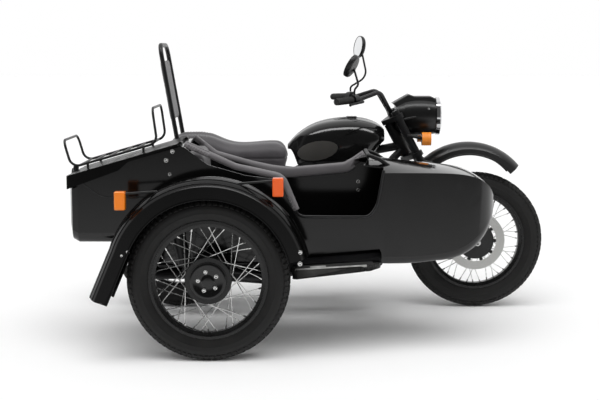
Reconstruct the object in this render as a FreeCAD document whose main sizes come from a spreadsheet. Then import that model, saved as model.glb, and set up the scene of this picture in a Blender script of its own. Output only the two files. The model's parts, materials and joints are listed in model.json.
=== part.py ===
import FreeCAD, Part
import Sketcher
import math
import os

# Sidecar outfit: a solo motorcycle with its sidecar on the right.
# X points forward, Y to the left and Z up. Pieces are worked out from the rear axle and the
# motorcycle's middle plane, and each is then placed so that the middle of the outfit is the origin.

os.makedirs("parts", exist_ok=True)
Vector = FreeCAD.Vector
document = FreeCAD.newDocument("sidecar_outfit")

# Driving sizes in millimetres and degrees
driving_sizes = {
    # running gear
    "wheel_base": 1500,
    "wheel_track": 1140,
    "wheel_lead": 228,
    "tyre_radius": 345,
    "tyre_half_width": 50,
    "tyre_crown": 13,
    "rim_seat_radius": 243,
    "rim_half_width": 33,
    "rim_lip": 9,
    "rim_wall": 4,
    "rim_well": 15,
    "spoke_radius": 2,
    "spoke_count": 40,
    "spoke_cross_angle": 58,
    "spoke_stagger": 3,
    "rim_spoke_spread": 8,
    "axle_radius": 10,
    "shaft_fit": 0.05,
    "gap": 0.3,
    "clearance": 5,
    # hubs
    "front_flange_radius": 62,
    "front_flange_half": 36,
    "front_barrel_radius": 34,
    "drum_radius": 98,
    "drum_half": 40,
    "drum_barrel_radius": 62,
    "flange_wall": 6,
    "hub_half_length": 52,
    "rear_hub_end": 60,
    "hub_cap_radius": 78,
    "hub_cap_depth": 12,
    "disc_radius": 148,
    "disc_inner_radius": 106,
    "disc_wall": 5,
    "disc_carrier_radius": 93,
    "disc_offset": 54.5,
    "disc_bobbin_radius": 7,
    "disc_bobbin_count": 10,
    # steering head and fork
    "rake": 28,
    "head_x": 1121,
    "head_height": 829,
    "head_tube_radius": 29,
    "head_tube_below": 55,
    "head_tube_above": 120,
    "yoke_wall": 24,
    "yoke_reach": 34,
    "fork_offset": 46,
    "fork_spacing": 108,
    "fork_tube_radius": 20,
    "fork_top": 172,
    "link_pivot_x": 1362,
    "link_pivot_height": 285,
    "shock_radius": 27,
    "shock_shroud_radius": 32,
    "shock_eye_radius": 16,
    "shock_rod_radius": 8,
    "front_shock_top_x": 1268,
    "front_shock_top_height": 735,
    # handlebar
    "bar_radius": 11,
    "grip_radius": 16,
    "grip_length": 118,
    "bar_end_x": 790,
    "bar_end_y": 350,
    "bar_end_height": 1057,
    "mirror_radius": 58,
    "mirror_depth": 22,
    "mirror_round": 14,
    "mirror_yaw": 20,
    "mirror_stem_radius": 5,
    "mirror_half": 300,
    "mirror_right_x": 852,
    "mirror_right_height": 1230,
    "mirror_right_tilt": 28,
    "mirror_left_x": 918,
    "mirror_left_height": 1320,
    "mirror_left_tilt": 9,
    # lamps
    "headlamp_radius": 88,
    "headlamp_ring_radius": 96,
    "headlamp_height": 972,
    "headlamp_front_x": 1320,
    "headlamp_ring_depth": 26,
    "headlamp_lens_depth": 12,
    "indicator_radius": 33,
    "indicator_depth": 46,
    "indicator_height": 865,
    "indicator_x": 1262,
    "indicator_y": 118,
    "cowl_base_height": 975,
    "cowl_rear_x": 1098,
    "cowl_shoulder_height": 1020,
    "dial_rear_x": 1075,
    "dial_rear_height": 1038,
    "cowl_peak_x": 1156,
    "cowl_peak_height": 1084,
    "cowl_dip_x": 1185,
    "cowl_dip_height": 1073,
    "cowl_half_width": 54,
    "cowl_round": 9,
    "dial_radius": 36,
    "dial_depth": 4,
    # front brake caliper
    "caliper_length": 52,
    "caliper_height": 92,
    "caliper_back": 18,
    "caliper_lift": 18,
    "caliper_throat": 12,
    "caliper_reach": 23,
    "caliper_round": 9,
    # mudguards
    "fender_wall": 3,
    "fender_bead": 5,
    "fender_ridge": 4,
    "front_fender_radius": 340,
    "front_fender_x": 1462,
    "front_fender_height": 503,
    "front_fender_half": 66,
    "front_fender_crown": 34,
    "front_fender_skirt": 26,
    "rear_fender_radius": 370,
    "rear_fender_half": 76,
    "rear_fender_crown": 34,
    "rear_fender_skirt": 40,
    "side_fender_radius": 436,
    "side_fender_half": 100,
    "side_fender_crown": 34,
    "side_fender_skirt": 52,
    "side_fender_tail": 225,
    # frame tubes
    "frame_tube_radius": 16,
    "backbone_radius": 21,
    "cradle_half": 134,
    "cradle_height": 216,
    "seat_rail_half": 120,
    "seat_rail_height": 700,
    # engine
    "crank_x": 850,
    "crank_height": 420,
    "crankcase_half_length": 135,
    "crankcase_half_width": 128,
    "crankcase_half_height": 128,
    "crankcase_radius": 34,
    "bell_radius": 122,
    "bell_length": 70,
    "gearbox_length": 185,
    "gearbox_half_width": 92,
    "gearbox_half_height": 92,
    "cylinder_stagger": 18,
    "barrel_radius": 52,
    "barrel_length": 104,
    "fin_half": 66,
    "fin_corner": 26,
    "fin_wall": 4,
    "fin_pitch": 12.5,
    "fin_count": 8,
    "head_length": 62,
    "head_half": 62,
    "rocker_depth": 46,
    "rocker_half_length": 74,
    "rocker_half_height": 56,
    "rocker_round": 15,
    "rocker_rib_wall": 7,
    "rocker_rib_depth": 6,
    "sump_depth": 40,
    "sump_rib_count": 7,
    "sump_rib_wall": 5,
    "sump_rib_depth": 9,
    "timing_cover_depth": 46,
    "engine_lug_radius": 11,
    "carburettor_radius": 30,
    "exhaust_radius": 20,
    "silencer_radius": 44,
    "silencer_length": 640,
    "silencer_end_x": -250,
    "silencer_height": 262,
    "exhaust_half": 205,
    # rear drive
    "swing_pivot_x": 398,
    "swing_pivot_height": 352,
    "swing_tube_radius": 22,
    "drive_offset": 92,
    "final_drive_radius": 84,
    "final_drive_half": 26,
    "rear_shock_top_x": 70,
    "rear_shock_top_height": 690,
    "rear_shock_half": 152,
    # seat and tank
    "tank_rear_x": 550,
    "tank_front_x": 1034,
    "tank_top_height": 964,
    "tank_base_height": 806,
    "tank_half_width": 158,
    "tank_cap_x": 872,
    "tank_cap_radius": 27,
    "tank_cap_height": 16,
    "tank_cap_round": 4,
    "saddle_rear_x": -45,
    "saddle_front_x": 545,
    "saddle_top_height": 880,
    "saddle_half_width": 148,
    "hoop_tube_radius": 11,
    "hoop_half": 160,
    "hoop_top_height": 1338,
    "hoop_lean": 10,
    "hoop_foot_x": 38,
    "hoop_pad_depth": 30,
    # pegs and pedals
    "peg_radius": 12,
    "peg_length": 110,
    "peg_front_x": 600,
    "peg_rear_x": 380,
    "peg_rear_height": 318,
    "pedal_radius": 6,
    "pedal_reach": 178,
    "pedal_rise": 24,
    "pedal_pad_length": 17,
    # centre stand
    "stand_pivot_x": 470,
    "stand_leg_length": 210,
    "stand_half": 92,
    "stand_tube_radius": 11,
    "stand_pin_radius": 8,
    # sidecar
    "side_body_y": -730,
    "side_body_half": 250,
    "side_body_wall": 5,
    "side_floor_height": 352,
    "side_corner_radius": 45,
    "trunk_floor_height": 474,
    "trunk_rear_x": -383,
    "trunk_front_x": 100,
    "trunk_front_height": 892,
    "trunk_rear_height": 752,
    "deck_crown": 2,
    "nose_start_x": 975,
    "nose_end_x": 1476,
    "nose_crease_height": 778,
    "nose_top_height": 822,
    "nose_tip_height": 610,
    "sill_height": 590,
    "lid_wall": 4,
    "lid_depth": 16,
    "lid_lip_depth": 42,
    "lid_hinge_radius": 7,
    "lid_pin_radius": 3,
    "lid_hinge_length": 60,
    "lid_hinge_spread": 150,
    "lid_step_length": 215,
    "lid_corner_radius": 14,
    "rack_tube_radius": 5.5,
    "rack_stand_off": 26,
    "rack_bend": 40,
    "rack_rear_rise": 118,
    "rack_rear_lean": 34,
    "rack_front_x": -8,
    "rack_front_rise": 150,
    "rack_front_lean": 20,
    "rack_half_width": 175,
    "rack_slat_count": 6,
    "rear_reach": 420,
    "left_reach": 366,
    "coaming_radius": 15,
    "cushion_depth": 110,
    "side_tube_radius": 22,
    "side_cross_radius": 18,
    # step in the sidecar's side
    "step_recess_rear_x": 500,
    "step_recess_front_x": 965,
    "step_recess_top": 490,
    "step_recess_depth": 80,
    "step_recess_round": 85,
    "step_rear_x": 580,
    "step_front_x": 960,
    "step_top_height": 375,
    "step_bottom_height": 335,
    "step_outer_y": -1090,
    "step_sheet": 4,
    "step_front_round": 100,
    "step_rear_round": 18,
    "step_rib": 8,
    "marker_length": 46,
    "marker_depth": 40,
    "marker_height": 78,
}

sheet = document.addObject("Spreadsheet::Sheet", "sizes")
for row, (alias, number) in enumerate(driving_sizes.items(), start=1):
    sheet.set("A%d" % row, alias.replace("_", " "))
    sheet.set("B%d" % row, str(number))
    sheet.setAlias("B%d" % row, alias)
document.recompute()


class Size(float):
    # a number from the sheet that remembers the expression it came from
    def __new__(cls, value, text):
        made = float.__new__(cls, value)
        made.text = text
        return made

    def joined(self, other, sign, value, swapped=False):
        mine = self.text
        theirs = getattr(other, "text", repr(float(other)))
        first, second = (theirs, mine) if swapped else (mine, theirs)
        return Size(value, "(%s %s %s)" % (first, sign, second))

    def __add__(self, other):
        return self.joined(other, "+", float(self) + float(other))

    def __radd__(self, other):
        return self.joined(other, "+", float(other) + float(self), True)

    def __sub__(self, other):
        return self.joined(other, "-", float(self) - float(other))

    def __rsub__(self, other):
        return self.joined(other, "-", float(other) - float(self), True)

    def __mul__(self, other):
        return self.joined(other, "*", float(self) * float(other))

    def __rmul__(self, other):
        return self.joined(other, "*", float(other) * float(self), True)

    def __truediv__(self, other):
        return self.joined(other, "/", float(self) / float(other))

    def __neg__(self):
        return Size(-float(self), "(-%s)" % self.text)


class SheetSizes:
    def __getattr__(self, alias):
        return Size(float(sheet.get(alias)), "sizes." + alias)


size = SheetSizes()
middle_x = (size.wheel_base + size.tyre_radius - size.rear_reach) / 2
right_reach = size.wheel_track + size.side_fender_half + size.fender_bead * 1.5
middle_y = (size.left_reach - right_reach) / 2
nodes = []


# Helpers

def node(item, label, place=(0, 0, 0), turn=None):
    # gives a sub-part its name and puts it in the outfit's frame
    item.Label = label
    item.Placement = FreeCAD.Placement(Vector(0, 0, 0), turn or FreeCAD.Rotation())
    item.setExpression("Placement.Base.x", (place[0] - middle_x).text)
    item.setExpression("Placement.Base.y", (place[1] - middle_y).text)
    height = place[2]
    if hasattr(height, "text"):
        item.setExpression("Placement.Base.z", height.text)
    nodes.append(item)
    return item


def put(item, place, turn=None):
    # places a piece that another piece is made from
    item.Placement = FreeCAD.Placement(Vector(*place), turn or FreeCAD.Rotation())
    for axis, value in zip("xyz", place):
        if hasattr(value, "text"):
            item.setExpression("Placement.Base." + axis, value.text)
    return item


def outline_sketch(body, role, points):
    # closed outline whose corners, and the radii of its round stretches, follow the sheet
    sketch = body.newObject("Sketcher::SketchObject", body.Name + "_outline")
    plane = [item for item in body.Origin.OriginFeatures if item.Role == role][0]
    sketch.AttachmentSupport = [(plane, "")]
    sketch.MapMode = "FlatFace"
    ends = []
    for index, point in enumerate(points):
        following = points[(index + 1) % len(points)]
        start = Vector(point[0], point[1], 0)
        end = Vector(following[0], following[1], 0)
        if len(point) == 3:
            radius = abs(point[2])
            chord = end - start
            sag = radius - math.sqrt(max(radius ** 2 - (chord.Length / 2) ** 2, 0))
            side = Vector(chord.y, -chord.x, 0).normalize() * math.copysign(sag, point[2])
            sketch.addGeometry(Part.Arc(start, (start + end) / 2 + side, end), False)
            ends.append((1, 2) if point[2] > 0 else (2, 1))
        else:
            sketch.addGeometry(Part.LineSegment(start, end), False)
            ends.append((1, 2))
    for index, point in enumerate(points):
        following = (index + 1) % len(points)
        sketch.addConstraint(
            Sketcher.Constraint("Coincident", index, ends[index][1], following, ends[following][0]))
    for index, point in enumerate(points):
        for axis, value in zip("XY", point):
            if value == 0:
                line = -2 if axis == "X" else -1
                sketch.addConstraint(Sketcher.Constraint("PointOnObject", index, ends[index][0], line))
                continue
            rule = Sketcher.Constraint("Distance" + axis, -1, 1, index, ends[index][0], value)
            bind_rule(sketch, rule, "%s%d" % (axis.lower(), index), value)
        if len(point) == 3:
            rule = Sketcher.Constraint("Radius", index, abs(point[2]))
            radius = point[2] if point[2] > 0 else -point[2]
            bind_rule(sketch, rule, "bend%d" % index, radius)
    return sketch


def bind_rule(sketch, rule, name, value):
    number = sketch.addConstraint(rule)
    sketch.renameConstraint(number, name)
    sketch.setExpression("Constraints." + name, value.text)


def turned(name, points, role="YZ_Plane", axis="H_Axis"):
    # solid of revolution about an axis of the plane of its outline
    body = document.addObject("PartDesign::Body", name)
    sketch = outline_sketch(body, role, points)
    spin = body.newObject("PartDesign::Revolution", name + "_turned")
    spin.Profile = sketch
    spin.ReferenceAxis = (sketch, [axis])
    spin.Angle = 360
    sketch.Visibility = False
    return body


def plate(name, points, length, role="XY_Plane", midplane=False, fillet=None):
    # straight pad of an outline, with all its edges rounded where a fillet is given
    body = document.addObject("PartDesign::Body", name)
    sketch = outline_sketch(body, role, points)
    pad = body.newObject("PartDesign::Pad", name + "_pad")
    pad.Profile = sketch
    pad.setExpression("Length", length.text)
    pad.Midplane = midplane
    if fillet is not None:
        document.recompute()
        rounding = body.newObject("PartDesign::Fillet", name + "_rounding")
        rounding.Base = (pad, ["Edge%d" % (i + 1) for i in range(len(pad.Shape.Edges))])
        rounding.setExpression("Radius", fillet.text)
    return body


def shape_piece(name, shape):
    piece = document.addObject("Part::Feature", name)
    piece.Shape = shape if shape.Placement.isIdentity() else Part.makeCompound([shape])
    return piece


def group(name, items):
    whole = document.addObject("Part::Compound", name)
    whole.Links = items
    return whole


def joined(name, items):
    whole = document.addObject("Part::MultiFuse", name)
    whole.Shapes = items
    return whole


def twin(item):
    # the same piece on the other side of the middle plane
    other = document.addObject("Part::Mirroring", item.Name + "_twin")
    other.Source = item
    other.Base = Vector(0, 0, 0)
    other.Normal = Vector(0, 1, 0)
    return other


def rounded_path(points, bend):
    # straight runs joined by tangent arcs
    edges = []
    start = points[0]
    for before, corner, after in zip(points, points[1:], points[2:]):
        back = (before - corner).normalize()
        ahead = (after - corner).normalize()
        half = back.getAngle(ahead) / 2
        reach = min((before - corner).Length, (after - corner).Length) * 0.45
        radius = min(bend, reach * math.tan(half))
        tangent = radius / math.tan(half)
        first = corner + back * tangent
        last = corner + ahead * tangent
        inward = (back + ahead).normalize()
        centre = corner + inward * (radius / math.sin(half))
        if (first - start).Length > 0.01:
            edges.append(Part.LineSegment(start, first).toShape())
        edges.append(Part.Arc(first, centre - inward * radius, last).toShape())
        start = last
    edges.append(Part.LineSegment(start, points[-1]).toShape())
    return Part.Wire(edges)


def tube(points, radius, bend):
    path = rounded_path(points, bend)
    ring = Part.Wire([Part.Circle(points[0], points[1] - points[0], radius).toShape()])
    return path.makePipe(Part.Face(ring))


def rod(start, end, radius):
    return Part.makeCylinder(radius, (end - start).Length, start, end - start)


def both_sides(shape):
    return shape.mirror(Vector(0, 0, 0), Vector(0, 1, 0))


def melted(shapes):
    whole = shapes[0].multiFuse(shapes[1:]) if len(shapes) > 1 else shapes[0]
    merged = whole.removeSplitter()
    return merged if merged.isValid() else whole


def side_cut(points, y_low, y_high):
    # solid across the outfit from an outline in its side view
    ring = [Vector(x, y_low, z) for x, z in points]
    return Part.Face(Part.makePolygon(ring + ring[:1])).extrude(Vector(0, y_high - y_low, 0))


def edges_along(solid, axis):
    # straight edges that run along an axis
    return [edge for edge in solid.Edges if abs(getattr(edge.tangentAt(edge.FirstParameter), axis)) > 0.99
            and edge.Curve.TypeId == "Part::GeomLine"]


def smooth_ring(points):
    curve = Part.BSplineCurve()
    curve.interpolate(points, PeriodicFlag=True)
    return Part.Wire([curve.toShape()])


# Steering axis: a point on it and its direction
rake_angle = math.radians(size.rake)
steer_up = Vector(-math.sin(rake_angle), 0, math.cos(rake_angle))
steer_ahead = Vector(math.cos(rake_angle), 0, math.sin(rake_angle))
steer_point = Vector(size.head_x, 0, size.head_height)


def on_fork(up, ahead, across):
    return steer_point + steer_up * up + steer_ahead * ahead + Vector(0, across, 0)


front_axle = Vector(size.wheel_base, 0, size.tyre_radius)
rear_axle = Vector(0, 0, size.tyre_radius)
side_axle = Vector(size.wheel_lead, -size.wheel_track, size.tyre_radius)
wheel_places = {
    "front": (size.wheel_base, Size(0, "0"), size.tyre_radius),
    "rear": (Size(0, "0"), Size(0, "0"), size.tyre_radius),
    "sidecar": (size.wheel_lead, -size.wheel_track, size.tyre_radius),
}


# Wheels: each rim, its spokes and its hub are one built-up wheel, with the tyre round it

def rim_body(name):
    half = size.rim_half_width
    seat = size.rim_seat_radius
    lip = size.rim_lip
    wall = size.rim_wall
    well = size.rim_well
    return turned(name + "_rim", [
        (-half, seat + lip),
        (-half, seat - wall),
        (-half * 0.62, seat - wall),
        (-half * 0.47, seat - well - wall),
        (half * 0.47, seat - well - wall),
        (half * 0.62, seat - wall),
        (half, seat - wall),
        (half, seat + lip),
        (half - wall, seat + lip),
        (half - wall, seat),
        (half * 0.5, seat),
        (half * 0.35, seat - well),
        (-half * 0.35, seat - well),
        (-half * 0.5, seat),
        (-half + wall, seat),
        (-half + wall, seat + lip),
    ])


def tyre_body(name):
    radius = size.tyre_radius
    half = size.tyre_half_width
    crown = size.tyre_crown
    tread = half * 0.74
    tread_bend = (tread * tread + crown * crown) / (crown * 2)
    bead = size.rim_half_width - size.rim_wall - size.gap
    seat = size.rim_seat_radius + size.gap
    return turned(name + "_tyre", [
        (-bead, seat),
        (bead, seat),
        (bead, seat + size.rim_lip, half * 1.2),
        (half, radius - half * 0.95, half * 1.6),
        (tread, radius - crown, tread_bend),
        (-tread, radius - crown, half * 1.6),
        (-half, radius - half * 0.95, half * 1.2),
        (-bead, seat + size.rim_lip),
    ])


def hub_body(name, flange, barrel, flange_half, cap, end):
    bore = size.axle_radius + size.shaft_fit
    wall = size.flange_wall
    neck = size.axle_radius * 2.2
    points = [
        (-end, bore),
        (end, bore),
        (end, neck),
        (flange_half + wall / 2, neck),
        (flange_half + wall / 2, flange),
        (flange_half - wall / 2, flange),
        (flange_half - wall / 2, barrel),
        (-flange_half + wall / 2, barrel),
        (-flange_half + wall / 2, flange),
        (-flange_half - wall / 2, flange),
        (-flange_half - wall / 2, cap),
        (-end, cap),
    ]
    return turned(name + "_hub", points)


def spoke_lattice(flange, flange_half):
    rods = []
    count = int(size.spoke_count)
    for index in range(count):
        side = 1 if index % 2 == 0 else -1
        lean = 1 if (index // 2) % 2 == 0 else -1
        rim_angle = 2 * math.pi * index / count
        hub_angle = rim_angle + lean * math.radians(size.spoke_cross_angle)
        hub_radius = flange - size.spoke_radius * 2
        rim_radius = size.rim_seat_radius - size.rim_well - size.rim_wall / 2
        hub_y = side * flange_half + lean * size.flange_wall / 4
        rim_y = side * size.rim_spoke_spread / 2 + lean * size.spoke_stagger / 2
        start = Vector(math.cos(hub_angle) * hub_radius, hub_y, math.sin(hub_angle) * hub_radius)
        end = Vector(math.cos(rim_angle) * rim_radius, rim_y, math.sin(rim_angle) * rim_radius)
        rods.append(spoke(start, end))
    return Part.makeCompound(rods)


def spoke(start, end):
    # a five-sided rod keeps the lattice light
    along = (end - start).normalize()
    across = along.cross(Vector(0, 1, 0)).normalize()
    other = along.cross(across)
    sides = 5
    ring = []
    for index in range(sides + 1):
        angle = 2 * math.pi * index / sides
        ring.append(start + (across * math.cos(angle) + other * math.sin(angle)) * size.spoke_radius)
    return Part.Face(Part.makePolygon(ring)).extrude(end - start)


hub_kinds = {
    "front": (size.front_flange_radius, size.front_barrel_radius, size.front_flange_half,
              size.axle_radius * 2.2, size.hub_half_length),
    "rear": (size.drum_radius, size.drum_radius - size.flange_wall, size.drum_half,
             size.axle_radius * 3.4, size.rear_hub_end),
    "sidecar": (size.drum_radius, size.drum_radius - size.flange_wall, size.drum_half,
                size.hub_cap_radius, size.hub_half_length),
}
for wheel_name, place in wheel_places.items():
    flange, barrel, flange_half, cap, hub_end = hub_kinds[wheel_name]
    rim = rim_body(wheel_name)
    hub = hub_body(wheel_name, flange, barrel, flange_half, cap, hub_end)
    spokes = shape_piece(wheel_name + "_spokes", spoke_lattice(flange, flange_half))
    node(joined(wheel_name + "_built_wheel", [rim, hub, spokes]), wheel_name + "_wheel", place)
    node(tyre_body(wheel_name), wheel_name + "_tyre", place)

# Front brake disc with its carrier and bobbins
disc_points = [
    (-size.disc_wall / 2, size.disc_inner_radius),
    (size.disc_wall / 2, size.disc_inner_radius),
    (size.disc_wall / 2, size.disc_radius),
    (-size.disc_wall / 2, size.disc_radius),
]
disc_ring = turned("disc_ring", disc_points)
carrier = turned("disc_carrier", [
    (-size.disc_wall / 2, size.axle_radius * 1.2),
    (size.disc_wall / 2, size.axle_radius * 1.2),
    (size.disc_wall / 2, size.disc_carrier_radius),
    (-size.disc_wall / 2, size.disc_carrier_radius),
])
bobbins = []
for index in range(int(size.disc_bobbin_count)):
    angle = 2 * math.pi * index / size.disc_bobbin_count
    radius = (size.disc_inner_radius + size.disc_carrier_radius) / 2
    start = Vector(math.cos(angle) * radius, -size.disc_wall, math.sin(angle) * radius)
    bobbins.append(Part.makeCylinder(size.disc_bobbin_radius * 1.3, size.disc_wall * 2, start, Vector(0, 1, 0)))
bobbin_set = shape_piece("disc_bobbins", Part.makeCompound(bobbins))
node(joined("front_disc", [disc_ring, carrier, bobbin_set]), "front_brake_disc",
     (size.wheel_base, -size.disc_offset, size.tyre_radius))


# Mudguards: a crowned gutter with skirts and rolled edges, carried along an arc

def gutter(half, crown, skirt):
    # face in the local frame of an arc: across is Y and outward is the radius
    wall = size.fender_wall

    def side_line(inset, drop):
        reach = half - inset
        return [
            Vector(0, -reach, -crown - skirt),
            Vector(0, -reach, -crown - drop),
            Vector(0, 0, -drop),
            Vector(0, reach, -crown - drop),
            Vector(0, reach, -crown - skirt),
        ]

    outer = side_line(0, 0)
    inner = side_line(wall, wall)
    edges = [
        Part.LineSegment(outer[0], outer[1]).toShape(),
        Part.Arc(outer[1], outer[2], outer[3]).toShape(),
        Part.LineSegment(outer[3], outer[4]).toShape(),
        Part.LineSegment(outer[4], inner[4]).toShape(),
        Part.LineSegment(inner[4], inner[3]).toShape(),
        Part.Arc(inner[3], inner[2], inner[1]).toShape(),
        Part.LineSegment(inner[1], inner[0]).toShape(),
        Part.LineSegment(inner[0], outer[0]).toShape(),
    ]
    return Part.Face(Part.Wire(edges))


def arc_guard(centre, radius, half, crown, skirt, front_angle, rear_angle, tail=0, tail_flare=0,
              ridge_shares=()):
    # angles are measured from straight ahead, upwards and over to the back
    section = gutter(half, crown, skirt)
    crown_radius = (half * half + crown * crown) / (crown * 2)
    beads = []
    for side in (-1, 1):
        low = Vector(0, side * (half - size.fender_bead / 2), -crown - skirt)
        beads.append(Part.Face(Part.Wire([Part.Circle(low, Vector(1, 0, 0), size.fender_bead).toShape()])))
        for share in ridge_shares:
            across = side * half * share
            drop = crown_radius - math.sqrt(crown_radius ** 2 - across ** 2)
            spot = Vector(0, across, -drop - size.fender_wall / 2)
            beads.append(Part.Face(Part.Wire([Part.Circle(spot, Vector(1, 0, 0), size.fender_ridge).toShape()])))
    solids = []
    for face in [section] + beads:
        placed = face.copy()
        placed.rotate(Vector(0, 0, 0), Vector(0, 1, 0), 90 - front_angle)
        outward = Vector(math.cos(math.radians(front_angle)), 0, math.sin(math.radians(front_angle)))
        placed.translate(centre + outward * radius)
        solids.append(placed.revolve(centre, Vector(0, -1, 0), rear_angle - front_angle))
        if tail:
            last = placed.copy()
            last.rotate(centre, Vector(0, -1, 0), rear_angle - front_angle)
            back = math.radians(rear_angle + 90 - tail_flare)
            solids.append(last.extrude(Vector(math.cos(back), 0, math.sin(back)) * tail))
    return melted(solids)


front_guard_centre = Vector(size.front_fender_x, 0, size.front_fender_height)
front_guard = arc_guard(front_guard_centre, size.front_fender_radius, size.front_fender_half,
                        size.front_fender_crown, size.front_fender_skirt, 41, 166)
node(shape_piece("front_guard", front_guard), "front_fender")
rear_guard = arc_guard(rear_axle, size.rear_fender_radius, size.rear_fender_half,
                       size.rear_fender_crown, size.rear_fender_skirt, 26, 172)
node(shape_piece("rear_guard", rear_guard), "rear_fender")
side_ridge_shares = (0.52, 0.82)
side_guard_centre = side_axle - Vector(0, size.fender_bead, 0)
side_guard = arc_guard(side_guard_centre, size.side_fender_radius, size.side_fender_half,
                       size.side_fender_crown, size.side_fender_skirt, 14, 161,
                       size.side_fender_tail, 4, side_ridge_shares)
guard_inner = side_guard_centre.y + size.side_fender_half
body_side = size.side_body_y - size.side_body_half - size.gap
stays = []
for angle, reach in ((150, 0), (96, 0), (40, 0)):
    turn = math.radians(angle)
    radius = size.side_fender_radius - size.side_fender_crown - size.side_fender_skirt * 0.4
    spot = side_guard_centre + Vector(math.cos(turn) * radius, 0, math.sin(turn) * radius)
    stays.append(rod(Vector(spot.x, guard_inner - 1, spot.z), Vector(spot.x, body_side, spot.z), 8))
side_guard = melted([side_guard] + stays)
node(shape_piece("side_guard", side_guard), "sidecar_fender")

# Fork: two yokes, stem and legs that run down to the pivots of the leading links
fork_pieces = []
lower_yoke_up = -size.head_tube_below - size.clearance - size.yoke_wall
upper_yoke_up = size.head_tube_above + size.clearance


def belt(start, start_radius, end, end_radius, axis, depth):
    # solid round two circles and the two tangents between them, extruded along the axis
    along = end - start
    lean = math.asin((start_radius - end_radius) / along.Length)
    ahead = along.normalize()
    across = axis.cross(ahead)
    spots = []
    for centre, radius in ((start, start_radius), (end, end_radius)):
        high = ahead * math.sin(lean) + across * math.cos(lean)
        low = ahead * math.sin(lean) - across * math.cos(lean)
        spots.append((centre + high * radius, centre + low * radius))
    edges = [
        Part.LineSegment(spots[0][0], spots[1][0]).toShape(),
        Part.Arc(spots[1][0], end + ahead * end_radius, spots[1][1]).toShape(),
        Part.LineSegment(spots[1][1], spots[0][1]).toShape(),
        Part.Arc(spots[0][1], start - ahead * start_radius, spots[0][0]).toShape(),
    ]
    return Part.Face(Part.Wire(edges)).extrude(axis * depth)


def yoke(up):
    # a boss round the stem and one round each leg, with tapering webs between them
    stem = on_fork(up, 0, 0)
    webs = []
    for side in (-1, 1):
        leg = on_fork(up, size.fork_offset, side * size.fork_spacing)
        webs.append(belt(stem, size.yoke_reach, leg, size.fork_tube_radius * 1.5, steer_up, size.yoke_wall))
    return melted(webs)


fork_pieces.append(yoke(lower_yoke_up))
fork_pieces.append(yoke(upper_yoke_up))
stem_radius = size.head_tube_radius - 8
fork_pieces.append(rod(on_fork(lower_yoke_up, 0, 0), on_fork(upper_yoke_up + size.yoke_wall, 0, 0), stem_radius))
link_pivot = Vector(size.link_pivot_x, 0, size.link_pivot_height)
for side in (-1, 1):
    across = side * size.fork_spacing
    knee = on_fork(lower_yoke_up - size.head_tube_above * 1.9, size.fork_offset, across)
    leg_points = [on_fork(size.fork_top, size.fork_offset, across), knee, link_pivot + Vector(0, across, 0)]
    fork_pieces.append(tube(leg_points, size.fork_tube_radius, size.fork_tube_radius * 8))
    boss_start = link_pivot + Vector(0, across - size.fork_tube_radius, 0)
    fork_pieces.append(Part.makeCylinder(size.fork_tube_radius * 1.3, size.fork_tube_radius * 2, boss_start,
                                         Vector(0, 1, 0)))
    upper_mount = Vector(size.front_shock_top_x, across, size.front_shock_top_height)
    leg_side = on_fork(lower_yoke_up - size.yoke_wall * 1.5, size.fork_offset, across)
    fork_pieces.append(rod(leg_side, upper_mount, size.fork_tube_radius * 0.8))
    mount_y = side * (size.fork_spacing + size.fork_tube_radius + 8 - size.gap)
    fork_pieces.append(rod(upper_mount, Vector(upper_mount.x, mount_y, upper_mount.z), size.shock_rod_radius))
    ear_start = on_fork(120, size.fork_offset, side * (size.fork_spacing - 4))
    ear_end = Vector(1190, side * (size.headlamp_radius + size.gap + 6), size.headlamp_height)
    fork_pieces.append(rod(ear_start, ear_end, 6))
    skirt_radius = size.front_fender_radius - size.front_fender_crown - size.front_fender_skirt / 2
    for angle, leg_up in ((132, -122), (166, -214)):
        spot = front_guard_centre + Vector(math.cos(math.radians(angle)), 0, math.sin(math.radians(angle))) * skirt_radius
        fork_pieces.append(rod(on_fork(leg_up, size.fork_offset, across),
                               Vector(spot.x, side * (size.front_fender_half - 1), spot.z), 7))
fork_whole = melted(fork_pieces).cut(front_guard)
fork_whole = max(fork_whole.Solids, key=lambda solid: solid.Volume)
node(shape_piece("fork_assembly", fork_whole), "fork")

# Leading links carry the axle ahead of their pivots
shock_side = size.fork_spacing + size.fork_tube_radius + size.shock_radius * 0.5 + 8
shock_foot = Vector(front_axle.x - 26, 0, front_axle.z - 4)
link_set = []
for side in (-1, 1):
    inner = side * (size.fork_spacing - size.fork_tube_radius - size.gap)
    wall = side * size.fork_tube_radius
    low = min(inner, inner - wall)
    arm_plate = belt(Vector(link_pivot.x, low, link_pivot.z), size.fork_tube_radius * 1.2,
                     Vector(front_axle.x, low, front_axle.z), size.axle_radius * 2.4, Vector(0, 1, 0),
                     size.fork_tube_radius)
    pin_y = side * (shock_side - size.shock_radius / 2 - size.gap)
    foot_pin = rod(Vector(shock_foot.x, inner - wall / 2, shock_foot.z), Vector(shock_foot.x, pin_y, shock_foot.z),
                   size.shock_rod_radius)
    link_set.append(melted([arm_plate, foot_pin]))
axle = Part.makeCylinder(size.axle_radius, size.fork_spacing * 2 + size.fork_tube_radius,
                         Vector(front_axle.x, -size.fork_spacing - size.fork_tube_radius / 2, front_axle.z),
                         Vector(0, 1, 0))
node(shape_piece("leading_link_set", melted(link_set + [axle])), "leading_links")


# Spring and damper units

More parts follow.
